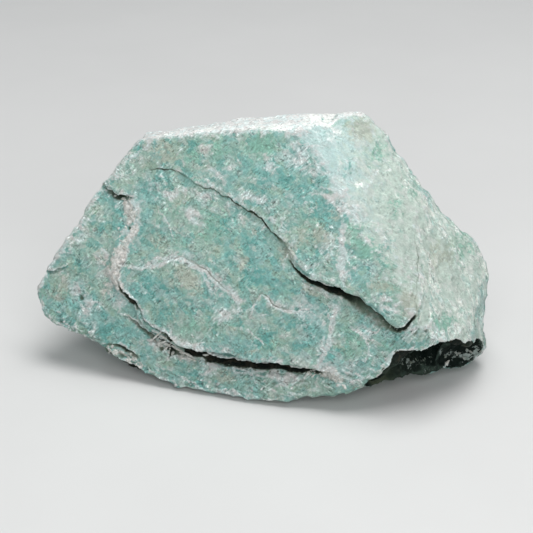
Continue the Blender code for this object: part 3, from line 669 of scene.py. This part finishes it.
def strokes(points, turn_deg, cell, offset):
    """Noise drawn out along a direction in the front's plane, like edges side by side."""
    turn = radians(turn_deg)
    flat = points @ face_axes("front") @ np.array([[cos(turn), -sin(turn)], [sin(turn), cos(turn)]])
    depth = points @ np.array(FACES["front"])
    drawn_out = np.stack([0.45 * flat[:, 0], 1.4 * flat[:, 1], 0.8 * depth], axis=1)
    return noise_field(drawn_out, cell, offset)


def torn_edges(points):
    return strokes(points, -10, 0.9, 49)


def hatching(points):
    return strokes(points, 55, 0.65, 52)


def big_plates(points):
    """The broad broken plates of the faces, and how near each point lies to a rim."""
    return plates(points * np.array((0.8, 1, 1.15)), 11.0, 0.5, 51)


def face_relief(points, outward, rugged, hatched):
    """Height of the fine relief in millimetres: low plates and a sugary grain on the cleavage
    faces, flutes on the right face, broken grain elsewhere and most of all where it is rugged."""
    front = facing(outward, "front", 0.6, 0.9)
    right = facing(outward, "right", 0.75, 0.95)
    shoulder = facing(outward, "shoulder", 0.85, 0.97)
    top = smoothstep(outward[:, 2], 0.80, 0.95)
    calm = np.max([0.9 * front, 0.85 * right, 0.85 * shoulder, 0.9 * top], axis=0)
    rough = 1 - calm
    height = 0.07 * noise_field(points, 5.0, 41) + 0.20 * rough * noise_field(points, 2.4, 42)
    height += 0.04 * noise_field(points, 1.1, 43) + 0.05 * noise_field(points, 0.62, 44)
    height += (0.12 + 0.25 * rough) * big_plates(points)[0]
    height += 0.7 * rough * scalloped_field(points, 2.8, 45)
    height += 0.22 * calm * scalloped_field(points, 1.4, 47)
    height += 0.07 * calm * (strokes(points, -38, 0.8, 55) + strokes(points, 48, 0.8, 56))
    height += 0.40 * right * scalloped_field(points * np.array((1, 1, 0.35)), 1.5, 46)
    height += 0.35 * right * scalloped_field(points * np.array((0.8, 1, 1)), 3.2, 57)
    height += 0.85 * rugged * scalloped_field(points * np.array((0.5, 1, 1.4)), 1.5, 48)
    return height + 0.35 * rugged * torn_edges(points) + 0.30 * hatched * hatching(points)


def hollow_share(points):
    """1 inside the undercut, falling to nought a little outside it."""
    nearest = np.full(len(points), np.inf)
    for centre, radii, turn in HOLLOWS:
        turn_back = np.array(Matrix.Rotation(radians(-turn), 3, "Z"))
        local = (points - np.array(centre)) @ turn_back.T / np.array(radii)
        nearest = np.minimum(nearest, np.linalg.norm(local, axis=1))
    return 1 - smoothstep(nearest, 1.04, 1.22)


def mark_patches(stone, skin):
    """Keeps on the skin how much each point belongs to the teal, green, beige, pale, crusted,
    rugged and hatched parts of the big faces."""
    points, outward = points_and_outward(stone)
    flat = points @ face_axes("front")
    shifted = flat + wander(points, 1.1, 3.4, 61) + wander(points, 0.5, 1.2, 63)
    shown = seen_faces(outward)
    pixel = EYE_DISTANCE / FOCAL_PIXELS / MM
    for kind in ("teal", "green", "beige", "pale", "crust", "rugged", "hatched"):
        amount = np.zeros(len(points))
        for across, down, long, high, turn, strength in PATCHES.get(kind, []):
            middle = line_on(skin, "front", [(across, down)])[0]
            turned_by = radians(turn)
            along = np.array((cos(turned_by), sin(turned_by)))
            upright = np.array((-sin(turned_by), cos(turned_by)))
            away = shifted - middle
            reach = (away @ along / (long * pixel)) ** 2 + (away @ upright / (high * pixel)) ** 2
            amount = np.maximum(amount, strength * np.exp(-0.7 * reach))
        for pixels, half_width, strength in BANDS.get(kind, []):
            line = line_on(skin, "front", pixels)
            near = near_line(flat, line, 4 * half_width)
            distance, _, past = along_line(shifted[near], line)
            soft = strength * np.exp(-((distance / half_width) ** 2) - (past / half_width) ** 2)
            amount[near] = np.maximum(amount[near], soft)
        keep_on_skin(stone, kind, shown * amount)


def mark_veins(stone, skin):
    """Keeps on the skin how far each point lies from the nearest vein, and that vein's look."""
    points, outward = points_and_outward(stone)
    flat = points @ face_axes("front")
    nearest = np.full(len(points), FAR)
    width = np.full(len(points), THIN)
    strength = np.zeros(len(points))
    for pixels, wide, strong in VEINS:
        line = line_on(skin, "front", pixels)
        near = np.flatnonzero(near_line(flat, line, 3))
        shifted = flat[near] + wander(points[near], 0.35, 2.2, 71) + wander(points[near], 0.14, 0.8, 73)
        distance, share, past = along_line(shifted, line)
        closer = np.abs(distance) + past < np.abs(nearest[near])
        chosen = near[closer]
        nearest[chosen] = distance[closer]
        width[chosen] = wide
        ends = smoothstep(share, 0.0, 0.12) * (1 - smoothstep(share, 0.88, 1.0))
        strength[chosen] = strong * (0.35 + 0.65 * ends[closer]) * np.exp(-((past[closer] / 0.5) ** 2))
    keep_on_skin(stone, "vein_away", nearest)
    keep_on_skin(stone, "vein_width", width)
    keep_on_skin(stone, "vein_strength", strength * seen_faces(outward))


def mark_skin(stone):
    """Keeps on the skin the zones, the rims of its plates, how far it faces up, for the edge wear and
    the painted light on the top, and where it is hollow.
    """
    points, outward = points_and_outward(stone)
    keep_on_skin(stone, "plate_rim", big_plates(points)[1])
    keep_on_skin(stone, "right_face", facing(outward, "right", 0.8, 0.97))
    keep_on_skin(stone, "shoulder", facing(outward, "shoulder", 0.76, 0.98))
    keep_on_skin(stone, "facing_up", outward[:, 2])
    keep_on_skin(stone, "hollow", hollow_share(points))


def mark_wear_and_shading(stone):
    """Keeps on the skin how far each point stands out from the evened skin, in millimetres, for the
    edge wear and for painted light and shade on the relief.
    """
    points, outward = points_and_outward(stone)
    for name, passes in (("bulge_fine", 3), ("bulge_wide", 26)):
        even = evened(stone, (0.7,) * passes)
        keep_on_skin(stone, name, ((points - even) * outward).sum(axis=1))


def set_on_foot(points, outward):
    """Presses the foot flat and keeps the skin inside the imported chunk's box."""
    foot = (outward[:, 2] < FOOT_FACES) & (points[:, 2] < FOOT_HEIGHT)
    points[foot, 2] = 0
    low, high = (np.array(corner) / MM for corner in cad_box)
    return np.clip(points, low, high)


def crumb_model(name, stretch, seed):
    """One angular chip about 1 mm across: a small ball, squashed and knocked out of round."""
    bpy.ops.object.select_all(action="DESELECT")
    bpy.ops.mesh.primitive_ico_sphere_add(subdivisions=2, radius=0.5 * MM, location=(0, 0, 0))
    chip = bpy.context.object
    chip.name = name
    bpy.ops.object.mode_set(mode="EDIT")
    bpy.ops.mesh.select_all(action="SELECT")
    bpy.ops.transform.vertex_random(offset=CHIP_KNOCK * MM, uniform=1.0, seed=seed)
    bpy.ops.transform.resize(value=stretch)
    bpy.ops.object.mode_set(mode="OBJECT")
    return chip


def set_down(model, place_mm, outward, along, scale, look):
    """A copy of a chip, half sunk in the skin but not in the floor, turned to lie along a
    direction, with the values that its look keeps on the skin."""
    chip = bpy.data.objects.new("crumb", model.data.copy())
    bpy.context.scene.collection.objects.link(chip)
    up = Vector(outward).normalized()
    side = up.cross(Vector(along)).normalized()
    turn = Matrix((side.cross(up), side, up)).transposed().to_4x4()
    chip.data.transform(Matrix.Translation(Vector(place_mm) * MM) @ turn @ Matrix.Diagonal((*scale, 1)))
    for corner in chip.data.vertices:
        corner.co.z = max(corner.co.z, 0)
    for name, value in {"vein_away": FAR, "vein_width": THIN, **look}.items():
        keep_on_skin(chip, name, np.full(len(chip.data.vertices), value))
    return chip


def run_along(pixels, share):
    """The point at a share of the way along a drawn line."""
    pixels = np.array(pixels, float)
    before = np.concatenate([[0], np.cumsum(np.linalg.norm(np.diff(pixels, axis=0), axis=1))])
    return [np.interp(share * before[-1], before, pixels[:, axis]) for axis in (0, 1)]


def scatter_crumbs(stone):
    """Chips and splinters in the cracks and the undercut, joined to the chunk."""
    skin = skin_tree(stone)
    models = [crumb_model(f"chip_{n}", shape, n) for n, shape in enumerate(CHIP_SHAPES)]
    splinter = crumb_model("splinter", SPLINTER_SHAPE, SPLINTER_SEED)
    dice = np.random.default_rng(CRUMB_SEED)
    chips = []
    for pixels, number, stray, small, large, kind, dark in CRUMB_RUNS:
        for _ in range(number):
            across, down = run_along(pixels, dice.uniform())
            place = seen_at(skin, (across + stray * dice.normal(), down + stray * dice.normal()))
            _, normal, _, _ = skin.find_nearest(Vector(place) * MM)
            size = dice.uniform(small, large)
            model = models[dice.integers(len(models))]
            # Crumbs in the cracks and the undercut get painted shade
            look = {kind: CHIP_COLOUR, "painted_crack_shade": dark}
            scale = size * np.array((dice.uniform(0.9, 1.9), 1.0, 0.8))
            chips.append(set_down(model, place, normal, dice.normal(size=3), scale, look))
    for first, last, width in SPLINTERS:
        ends = seen_at(skin, first), seen_at(skin, last)
        middle = (ends[0] + ends[1]) / 2 + SPLINTER_LIFT * np.array(FACES["front"])
        thickness = width / SPLINTER_SHAPE[1]
        scale = (np.linalg.norm(ends[1] - ends[0]), thickness, thickness)
        look = {"crust": CHIP_COLOUR, "painted_crack_shade": SPLINTER_DARK}
        chips.append(set_down(splinter, middle, FACES["front"], ends[1] - ends[0], scale, look))
    for model in [*models, splinter]:
        bpy.data.objects.remove(model)
    select_only(stone)
    for chip in chips:
        chip.select_set(True)
    bpy.ops.object.join()


def work_skin(stone):
    """Marks the even skin first, then cuts the ledges, sinks the pits and adds the relief."""
    skin = skin_tree(stone)
    mark_skin(stone)
    mark_patches(stone, skin)
    mark_veins(stone, skin)
    points, outward = points_and_outward(stone)
    worked = cut_ledges(stone, skin)
    pits = sink_pits(points, skin)
    rugged, hatched = kept(stone, "rugged"), kept(stone, "hatched")
    # Painted shade in the clefts of the rugged and hatched parts and in the pits
    clefts = 0.55 * rugged * smoothstep(-torn_edges(points), 0.30, 0.65)
    clefts += 0.50 * hatched * smoothstep(-hatching(points), 0.25, 0.60)
    keep_on_skin(stone, "painted_crack_shade", np.maximum(0.6 * smoothstep(pits, 0.1, 0.6), clefts))
    rise = face_relief(points, outward, rugged, hatched)
    rise += 0.40 * kept(stone, "crust") * scalloped_field(points, 0.8, 53)
    rise += 0.9 * kept(stone, "hollow") * scalloped_field(points * np.array((0.5, 1, 1.2)), 2.2, 54)
    worked += (rise - pits)[:, None] * outward
    move_vertices(stone, set_on_foot(worked, outward))


# The material

# Colours of the stone: its mottle, its white faces and haze, its pale top partly painted as lit, its
# grain and its crust
TEAL = (0.21, 0.415, 0.38, 1)
GREEN = (0.28, 0.42, 0.355, 1)
DEEP_TEAL = (0.10, 0.325, 0.295, 1)
OLIVE = (0.29, 0.40, 0.30, 1)
LEAF_GREEN = (0.20, 0.40, 0.315, 1)
BEIGE = (0.40, 0.43, 0.355, 1)
ROSY_WHITE = (0.57, 0.56, 0.545, 1)
PALE = (0.53, 0.61, 0.60, 1)
BLUE_WHITE = (0.42, 0.56, 0.545, 1)
SAGE_WHITE = (0.41, 0.485, 0.42, 1)
RIGHT_WHITE = (0.655, 0.685, 0.63, 1)
PALE_LIT_TOP = (0.88, 0.88, 0.84, 1)
BRIGHT = (0.68, 0.73, 0.73, 1)
CRUST_BROWN = (0.40, 0.36, 0.30, 1)
CRUST_WHITE = (0.62, 0.60, 0.57, 1)
DARK_GRAIN = (0.08, 0.22, 0.20, 1)
# Painted shade for its low spots, undercut and cracks, painted light on the undercut's chips, dirt in
# the cracks
LOW_SPOT_SHADE = (0.06, 0.075, 0.06, 1)
UNDERCUT_SHADE = (0.004, 0.009, 0.007, 1)
UNDERCUT_HALF_LIT = (0.03, 0.048, 0.038, 1)
LIT_CHIP_GREY = (0.26, 0.31, 0.29, 1)
CRACK_SHADE_OLIVE = (0.085, 0.105, 0.068, 1)
CRACK_SHADE_GREEN = (0.022, 0.034, 0.024, 1)
BLACK_DIRT_AND_SHADE = (0.008, 0.012, 0.01, 1)
BROWN_DIRT_AND_SHADE = (0.04, 0.036, 0.026, 1)

FLOOR_PALE = (0.63, 0.63, 0.62, 1)
FLOOR_PALER = (0.645, 0.645, 0.635, 1)
FLOOR_ROUGHNESS = 0.9
BUMP_STRENGTH = 0.7
BUMP_HEIGHT = 0.34 * MM


class Paint:
    """The material that the functions below add their nodes to."""

    tree = None


def new_paint(name):
    """Starts a material. Returns it and its shader."""
    material = bpy.data.materials.new(name)
    material.use_nodes = True
    Paint.tree = material.node_tree
    return material, Paint.tree.nodes["Principled BSDF"]


def plug(value, socket):
    Paint.tree.links.new(value, socket)


def add_node(kind, inputs=None, **settings):
    made = Paint.tree.nodes.new(kind)
    for name, value in settings.items():
        setattr(made, name, value)
    for key, value in (inputs or {}).items():
        if isinstance(value, bpy.types.NodeSocket):
            plug(value, made.inputs[key])
        else:
            made.inputs[key].default_value = value
    return made


def object_place_mm():
    place = add_node("ShaderNodeTexCoord").outputs["Object"]
    return turned(place, (0, 0, 0), (1 / MM,) * 3)


def skin_value(name):
    return add_node("ShaderNodeAttribute", attribute_name=name).outputs["Fac"]


def ramp(value, low, high, to_low=0.0, to_high=1.0):
    made = add_node(
        "ShaderNodeMapRange",
        {"Value": value, "From Min": low, "From Max": high, "To Min": to_low, "To Max": to_high},
        interpolation_type="SMOOTHSTEP",
    )
    return made.outputs["Result"]


def maths(operation, first, second=0.0):
    return add_node("ShaderNodeMath", {0: first, 1: second}, operation=operation).outputs[0]


def total_of(*values):
    return reduce(partial(maths, "ADD"), values)


def times(*values):
    return reduce(partial(maths, "MULTIPLY"), values)


def swing(value, factor):
    """A cloud's swing about its middle value, times a factor."""
    return times(maths("SUBTRACT", value, 0.5), factor)


def tint(share, under, over):
    return add_node("ShaderNodeMix", {0: share, 6: under, 7: over}, data_type="RGBA").outputs[2]


def mixed(share, first, second):
    return add_node("ShaderNodeMix", {0: share, 2: first, 3: second}, data_type="FLOAT").outputs[0]


def lightened(colour, tone):
    return add_node("ShaderNodeHueSaturation", {"Value": tone, "Color": colour}).outputs["Color"]


def cloud(coords, size_mm, detail=4.0, roughness=0.6, distortion=0.0):
    made = add_node(
        "ShaderNodeTexNoise",
        {"Vector": coords, "Scale": 1 / size_mm, "Detail": detail, "Roughness": roughness,
         "Distortion": distortion},
    )
    return made.outputs["Fac"]


def turned(coords, turn_deg, stretch=(1, 1, 1)):
    turn = Euler([radians(angle) for angle in turn_deg])
    made = add_node("ShaderNodeMapping", {"Vector": coords, "Rotation": turn, "Scale": stretch})
    return made.outputs["Vector"]


def streaked(coords, turn_deg, length):
    """The same places, so squeezed that patterns on them run out into streaks that many times
    longer, level ones turned by an angle in the plane that faces the viewer."""
    made = add_node(
        "ShaderNodeMapping",
        {"Vector": coords, "Rotation": Euler((0, radians(turn_deg), 0)), "Scale": (length, 1, 1)},
        vector_type="TEXTURE",
    )
    return made.outputs["Vector"]


def stirred_by(coords, size_mm, reach):
    """The same places, each shifted a little at random, so that patterns get ragged edges."""
    stir = add_node("ShaderNodeTexNoise", {"Vector": coords, "Scale": 1 / size_mm, "Detail": 3.0})
    shift = {0: stir.outputs["Color"], 1: (reach,) * 3, 2: coords}
    return add_node("ShaderNodeVectorMath", shift, operation="MULTIPLY_ADD").outputs[0]


def shards(coords, size_mm):
    """The same places, each drawn to the middle of its angular shard, so that a pattern on them
    breaks up into shards of one value each."""
    stirred = stirred_by(streaked(coords, 35, 1.5), 0.8, 0.7)
    cells = add_node("ShaderNodeTexVoronoi", {"Vector": stirred, "Scale": 1 / size_mm})
    return cells.outputs["Position"]


def crystals(coords, size_mm):
    """A random value for each crystal grain of that size."""
    cells = add_node("ShaderNodeTexVoronoi", {"Vector": coords, "Scale": 1 / size_mm})
    return add_node("ShaderNodeSeparateColor", {0: cells.outputs["Color"]}).outputs[0]


def flaky(mm, size_mm, length):
    """Short streaks that lie one way here and another way there, like small torn flakes."""
    falling = cloud(streaked(mm, 38, length), size_mm, 3, 0.65)
    rising = cloud(streaked(mm, -48, length), size_mm, 3, 0.65)
    return mixed(ramp(cloud(mm, 2.6, 4, 0.7), 0.44, 0.56), falling, rising)


def patch(name, ragged, most=0.9):
    """How much a patch kept on the skin shows, its border and inside broken up by a ragged cloud."""
    return ramp(total_of(skin_value(name), swing(ragged, 3.0)), 0.22, 0.75, 0.0, most)


def gap(mm):
    """How dark the painted shade is in the gap under the nearest lip and below it."""
    away = total_of(skin_value("gap_away"), swing(cloud(mm, 0.6, 4, 0.7), 0.5))
    beyond = maths("SUBTRACT", times(away, -1.0), skin_value("gap_opens"))
    fade = ramp(maths("DIVIDE", beyond, skin_value("gap_shade")), 0.0, GAP_FADE, 1.0, 0.0)
    return times(ramp(away, 0.08, -0.06), fade, skin_value("gap_dark"))


def vein(mm):
    """The named veins, from their distance kept on the skin, with ragged edges."""
    away = maths("ABSOLUTE", total_of(skin_value("vein_away"), swing(cloud(mm, 0.7, 5, 0.8), 1.6)))
    line = ramp(maths("DIVIDE", away, skin_value("vein_width")), 1.0, 0.15)
    broken = ramp(cloud(mm, 1.8, 4, 0.7), 0.38, 0.58, 0.3, 1.0)
    return times(line, broken, skin_value("vein_strength"))


def shared_patterns():
    """The patterns that several parts of the stone's look use."""
    rock = SimpleNamespace(mm=object_place_mm())
    rock.stirred = stirred_by(rock.mm, 1.4, 1.8)
    rock.ragged = cloud(rock.mm, 1.2, 8, 0.75)
    rock.grain = flaky(rock.mm, 0.40, 3.0)
    rock.sugar = total_of(swing(flaky(rock.mm, 0.95, 2.4), 0.45), swing(rock.grain, 0.16))
    rock.streaks = cloud(streaked(rock.mm, 65, 3.0), 1.3, 5, 0.7)
    rock.right = skin_value("right_face")
    for name in ("shoulder", "facing_up", "bulge_fine", "bulge_wide", "pale"):
        setattr(rock, name, skin_value(name))
    # The pale top: partly pale stone, partly painted light where the skin faces up
    patchy = swing(cloud(rock.stirred, 6, 5, 0.7), 0.6)
    rock.bleached = ramp(total_of(
        rock.facing_up, swing(rock.ragged, 0.4), patchy, times(rock.pale, 0.1),
    ), 0.81, 0.95)
    rock.crust = patch("crust", cloud(rock.mm, 0.9, 8, 0.8), 0.80)
    # Where the undercut's painted shade lies
    rock.hollow = ramp(total_of(skin_value("hollow"), swing(rock.ragged, 0.6)), 0.30, 0.55)
    # The undercut's pale chips, painted lighter as lumps that catch the light, and less dark in the
    # cracks
    chips = swing(cloud(streaked(rock.mm, -25, 2.4), 0.75, 6, 0.8), 5.0)
    rock.chips = times(ramp(total_of(rock.pale, chips), 0.72, 0.95), rock.hollow)
    # Painted shade in the cracks, pits and clefts and under the lips
    cracks = maths("MAXIMUM", skin_value("painted_crack_shade"), gap(rock.mm))
    rock.dark = total_of(cracks, swing(rock.ragged, 0.4), times(rock.chips, -0.8))
    rock.crack = ramp(rock.dark, 0.08, 0.60)
    return rock


def face_colours(rock):
    """Teal and green mottle in angular shards, the whiter faces, and the named patches."""
    broken = shards(rock.mm, 1.0)
    body = tint(ramp(cloud(rock.mm, 11, 5, 0.65, 0.5), 0.44, 0.58), TEAL, GREEN)
    body = tint(ramp(cloud(broken, 3.0, 6, 0.7), 0.49, 0.59, 0.0, 0.65), body, DEEP_TEAL)
    olive = cloud(turned(broken, (70, 0, 0)), 3.0, 6, 0.7)
    body = tint(ramp(olive, 0.51, 0.61, 0.0, 0.55), body, OLIVE)
    flutes = cloud(turned(stirred_by(rock.mm, 3.0, 2.0), (0, -8, 0), (1, 1, 0.25)), 1.5, 6, 0.75)
    body = tint(times(rock.right, ramp(flutes, 0.40, 0.60, 0.30, 0.98)), body, RIGHT_WHITE)
    across_mm = add_node("ShaderNodeSeparateXYZ", {0: rock.stirred}).outputs["X"]
    sage = ramp(total_of(across_mm, swing(rock.streaks, 40.0)), 16, 27, 0.0, 0.85)
    pale = ramp(total_of(rock.shoulder, swing(rock.ragged, 2.2)), 0.25, 0.85, 0.0, 0.88)
    body = tint(pale, body, tint(sage, BLUE_WHITE, SAGE_WHITE))
    body = tint(times(rock.bleached, 0.9), body, PALE_LIT_TOP)
    body = tint(patch("green", rock.ragged), body, LEAF_GREEN)
    body = tint(patch("teal", rock.ragged), body, DEEP_TEAL)
    blush = ramp(cloud(turned(broken, (0, 40, 30), (0.7, 1, 1)), 2.0, 6, 0.7), 0.51, 0.61)
    body = tint(times(blush, 0.32), body, ROSY_WHITE)
    return tint(patch("beige", rock.ragged, 0.75), body, BEIGE)


def whitened(rock, body):
    """White haze, veins, pale rims, edge wear whitened only where it faces up as partly painted light,
    painted light on the raised grain, and dark grain between the flakes.
    """
    haze = mixed(0.45, cloud(streaked(rock.stirred, 32, 1.7), 2.4, 8, 0.62),
                 cloud(shards(rock.mm, 0.7), 2.2, 6, 0.7))
    rim = times(ramp(skin_value("plate_rim"), 0.2, 0.9), ramp(cloud(rock.mm, 5, 3), 0.45, 0.6))
    # Edge wear on raised parts, whitened only where they face up: partly wear, partly painted light
    # from above
    worn_and_lit = times(ramp(rock.bulge_wide, 0.06, 0.40), ramp(rock.facing_up, -0.1, 0.5))
    whiteness = total_of(
        rock.sugar, swing(haze, 0.9), times(rock.pale, 0.26), times(vein(rock.mm), 0.32),
        times(rim, 0.10), times(worn_and_lit, 0.14), times(skin_value("teal"), -0.08),
        times(rock.shoulder, -0.07), times(skin_value("green"), -0.05), times(rock.bulge_fine, 0.5),
    )
    white = tint(ramp(cloud(rock.stirred, 1.6, 3), 0.44, 0.56), ROSY_WHITE, PALE)
    white = tint(ramp(rock.grain, 0.56, 0.70), white, BRIGHT)
    body = tint(ramp(whiteness, 0.00, 0.24, 0.0, 0.85), body, white)
    between = ramp(total_of(rock.sugar, swing(haze, 0.8)), -0.05, -0.22, 0.0, 0.40)
    return tint(between, body, DARK_GRAIN)


def toned(rock, body):
    """Light and dark: the grain and its speckle, with painted light and shade on the fine relief, and
    painted light and shade from face to face: darker towards the floor, lighter on the pale top and on
    the right face, most of all low on it, and darker low on the shoulder.
    """
    speckle = total_of(
        swing(rock.grain, 2.4), swing(cloud(rock.mm, 0.32, 2, 0.7), 0.8),
        swing(crystals(stirred_by(rock.mm, 0.6, 0.5), 0.9), 0.16), times(rock.bulge_fine, 0.8),
    )
    lively = ramp(cloud(rock.stirred, 2.4, 5, 0.7), 0.42, 0.62, 0.45, 1.40)
    lively = times(lively, ramp(rock.shoulder, 0.0, 0.8, 1.0, 0.55))
    height_mm = add_node("ShaderNodeSeparateXYZ", {0: rock.mm}).outputs["Z"]
    # Painted shade towards the floor, painted light on the pale top and the right face, painted shade
    # low on the shoulder
    tone = total_of(
        times(speckle, lively), ramp(height_mm, 2, 36, 0.82, 1.0),
        times(rock.right, 0.11), times(rock.bleached, 0.13),
        times(skin_value("beige"), -0.05), times(rock.shoulder, -0.03),
        times(rock.shoulder, swing(rock.streaks, 0.7)),
        times(rock.right, ramp(height_mm, 34, 14), 0.11),
        times(rock.shoulder, ramp(height_mm, 50, 28), -0.11),
    )
    return lightened(body, tone)


def crusted(rock, body):
    """Crumbly beige crust, with painted light and shade on its fine relief."""
    crumbly = tint(ramp(cloud(rock.mm, 0.7, 4, 0.8), 0.36, 0.52), CRUST_BROWN, CRUST_WHITE)
    uneven = total_of(swing(rock.grain, 2.0), times(rock.bulge_fine, 0.9), 1.04)
    return tint(rock.crust, body, lightened(crumbly, uneven))


def darkened(rock, body):
    """Painted shade in the low spots and in the undercut, whose pale chips are painted lighter as if
    lit, and dirt and painted shade in the cracks.
    """
    # Painted shade in the low spots, where the skin lies below its evened self
    body = tint(times(ramp(rock.bulge_wide, -0.15, -0.9), 0.6), body, LOW_SPOT_SHADE)
    # Painted shade in the undercut, less dark on its raised parts as if half lit
    raised = total_of(rock.bulge_wide, swing(rock.ragged, 1.0))
    painted_undercut = tint(rock.chips, tint(ramp(raised, 0.15, 0.50), UNDERCUT_SHADE, UNDERCUT_HALF_LIT), LIT_CHIP_GREY)
    body = tint(rock.hollow, body, painted_undercut)
    # Painted shade in the cracks and under the lips: olive, then green, then the darkest tint, which is
    # dirt and painted shade, and inside the undercut its painted shade
    body = tint(times(rock.crack, 0.85), body, CRACK_SHADE_OLIVE)
    body = tint(ramp(rock.dark, 0.45, 0.80), body, CRACK_SHADE_GREEN)
    dirt_and_shade = tint(ramp(cloud(rock.mm, 1.3, 4), 0.48, 0.62), BLACK_DIRT_AND_SHADE, BROWN_DIRT_AND_SHADE)
    return tint(ramp(rock.dark, 0.70, 1.00), body, tint(rock.hollow, dirt_and_shade, painted_undercut))


def amazonite():
    """Broken blue-green feldspar: teal and green mottle, white haze and veinlets, pale flecks,
    beige crust, a pale top partly painted as lit, painted light and shade on the faces, and dirt
    and painted shade in the cracks, with painted shade in the undercut."""
    material, shader = new_paint("amazonite")
    rock = shared_patterns()
    body = darkened(rock, crusted(rock, toned(rock, whitened(rock, face_colours(rock)))))
    plug(body, shader.inputs["Base Color"])
    dull = ramp(cloud(rock.mm, 0.9, 4, 0.7), 0.35, 0.65, 0.42, 0.74)
    plug(maths("MAXIMUM", dull, times(rock.crust, 0.9)), shader.inputs["Roughness"])
    shine = ramp(maths("MAXIMUM", rock.hollow, rock.dark), 0.2, 0.9, 0.5, 0.1)
    plug(shine, shader.inputs["Specular IOR Level"])
    height = total_of(
        cloud(rock.mm, 0.6, 4, 0.8), swing(rock.grain, 0.6),
        times(total_of(rock.crust, rock.crack), cloud(rock.mm, 0.8, 3, 0.7)),
    )
    relief = {"Height": height, "Strength": BUMP_STRENGTH, "Distance": BUMP_HEIGHT}
    plug(add_node("ShaderNodeBump", relief).outputs["Normal"], shader.inputs["Normal"])
    return material


def pale_floor_paint():
    material, shader = new_paint("pale_floor")
    shader.inputs["Roughness"].default_value = FLOOR_ROUGHNESS
    shade = ramp(cloud(object_place_mm(), 60, 3), 0.3, 0.7)
    plug(tint(shade, FLOOR_PALE, FLOOR_PALER), shader.inputs["Base Color"])
    return material


# The studio

FLOOR_SIDE = 6.0
SKY_COLOUR = (0.9, 0.95, 1.0, 1)
SKY_STRENGTH = 0.25


def pale_floor():
    bpy.ops.object.select_all(action="DESELECT")
    bpy.ops.mesh.primitive_plane_add(size=FLOOR_SIDE, location=(0, 0, 0))
    floor = bpy.context.object
    floor.name = "pale_floor"
    floor.data.materials.append(pale_floor_paint())


def soft_light(name, place_mm, size_mm, watts):
    """A large soft lamp that faces the chunk."""
    place = Vector(place_mm) * MM
    turn = (place - LOOKED_AT).to_track_quat("Z", "Y").to_euler()
    bpy.ops.object.light_add(type="AREA", location=place, rotation=turn)
    lamp = bpy.context.object
    lamp.name = name
    lamp.data.shape = "RECTANGLE"
    lamp.data.size, lamp.data.size_y = (side * MM for side in size_mm)
    lamp.data.energy = watts


def soft_studio():
    soft_light("overhead_softbox", place_mm=(90, 30, 620), size_mm=(520, 420), watts=3.5)
    soft_light("front_fill", place_mm=(40, -540, 300), size_mm=(400, 400), watts=2.0)
    world = bpy.data.worlds.new("studio")
    world.use_nodes = True
    sky = world.node_tree.nodes["Background"]
    sky.inputs["Color"].default_value = SKY_COLOUR
    sky.inputs["Strength"].default_value = SKY_STRENGTH
    bpy.context.scene.world = world
    bpy.context.scene.view_settings.view_transform = "Standard"


def eye():
    turn = (radians(90 - EYE_HEIGHT_DEG), 0, 0)
    bpy.ops.object.camera_add(location=EYE, rotation=turn)
    camera = bpy.context.object
    camera.data.sensor_width = SENSOR_MM
    camera.data.lens = FOCAL_PIXELS / PICTURE_PIXELS * SENSOR_MM
    bpy.context.scene.camera = camera


def carve_chunk():
    stone = rough_chunk(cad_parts["amazonite_chunk"])
    work_skin(stone)
    finish_with(stone, "DECIMATE", ratio=TRIANGLES / (2 * len(stone.data.polygons)))
    mark_wear_and_shading(stone)
    scatter_crumbs(stone)
    select_only(stone)
    bpy.ops.object.shade_smooth()
    stone.data.materials.clear()
    stone.data.materials.append(amazonite())
    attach(stone, "root")
    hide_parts("amazonite_chunk")


bpy.ops.object.select_all(action="DESELECT")
carve_chunk()
pale_floor()
soft_studio()
eye()
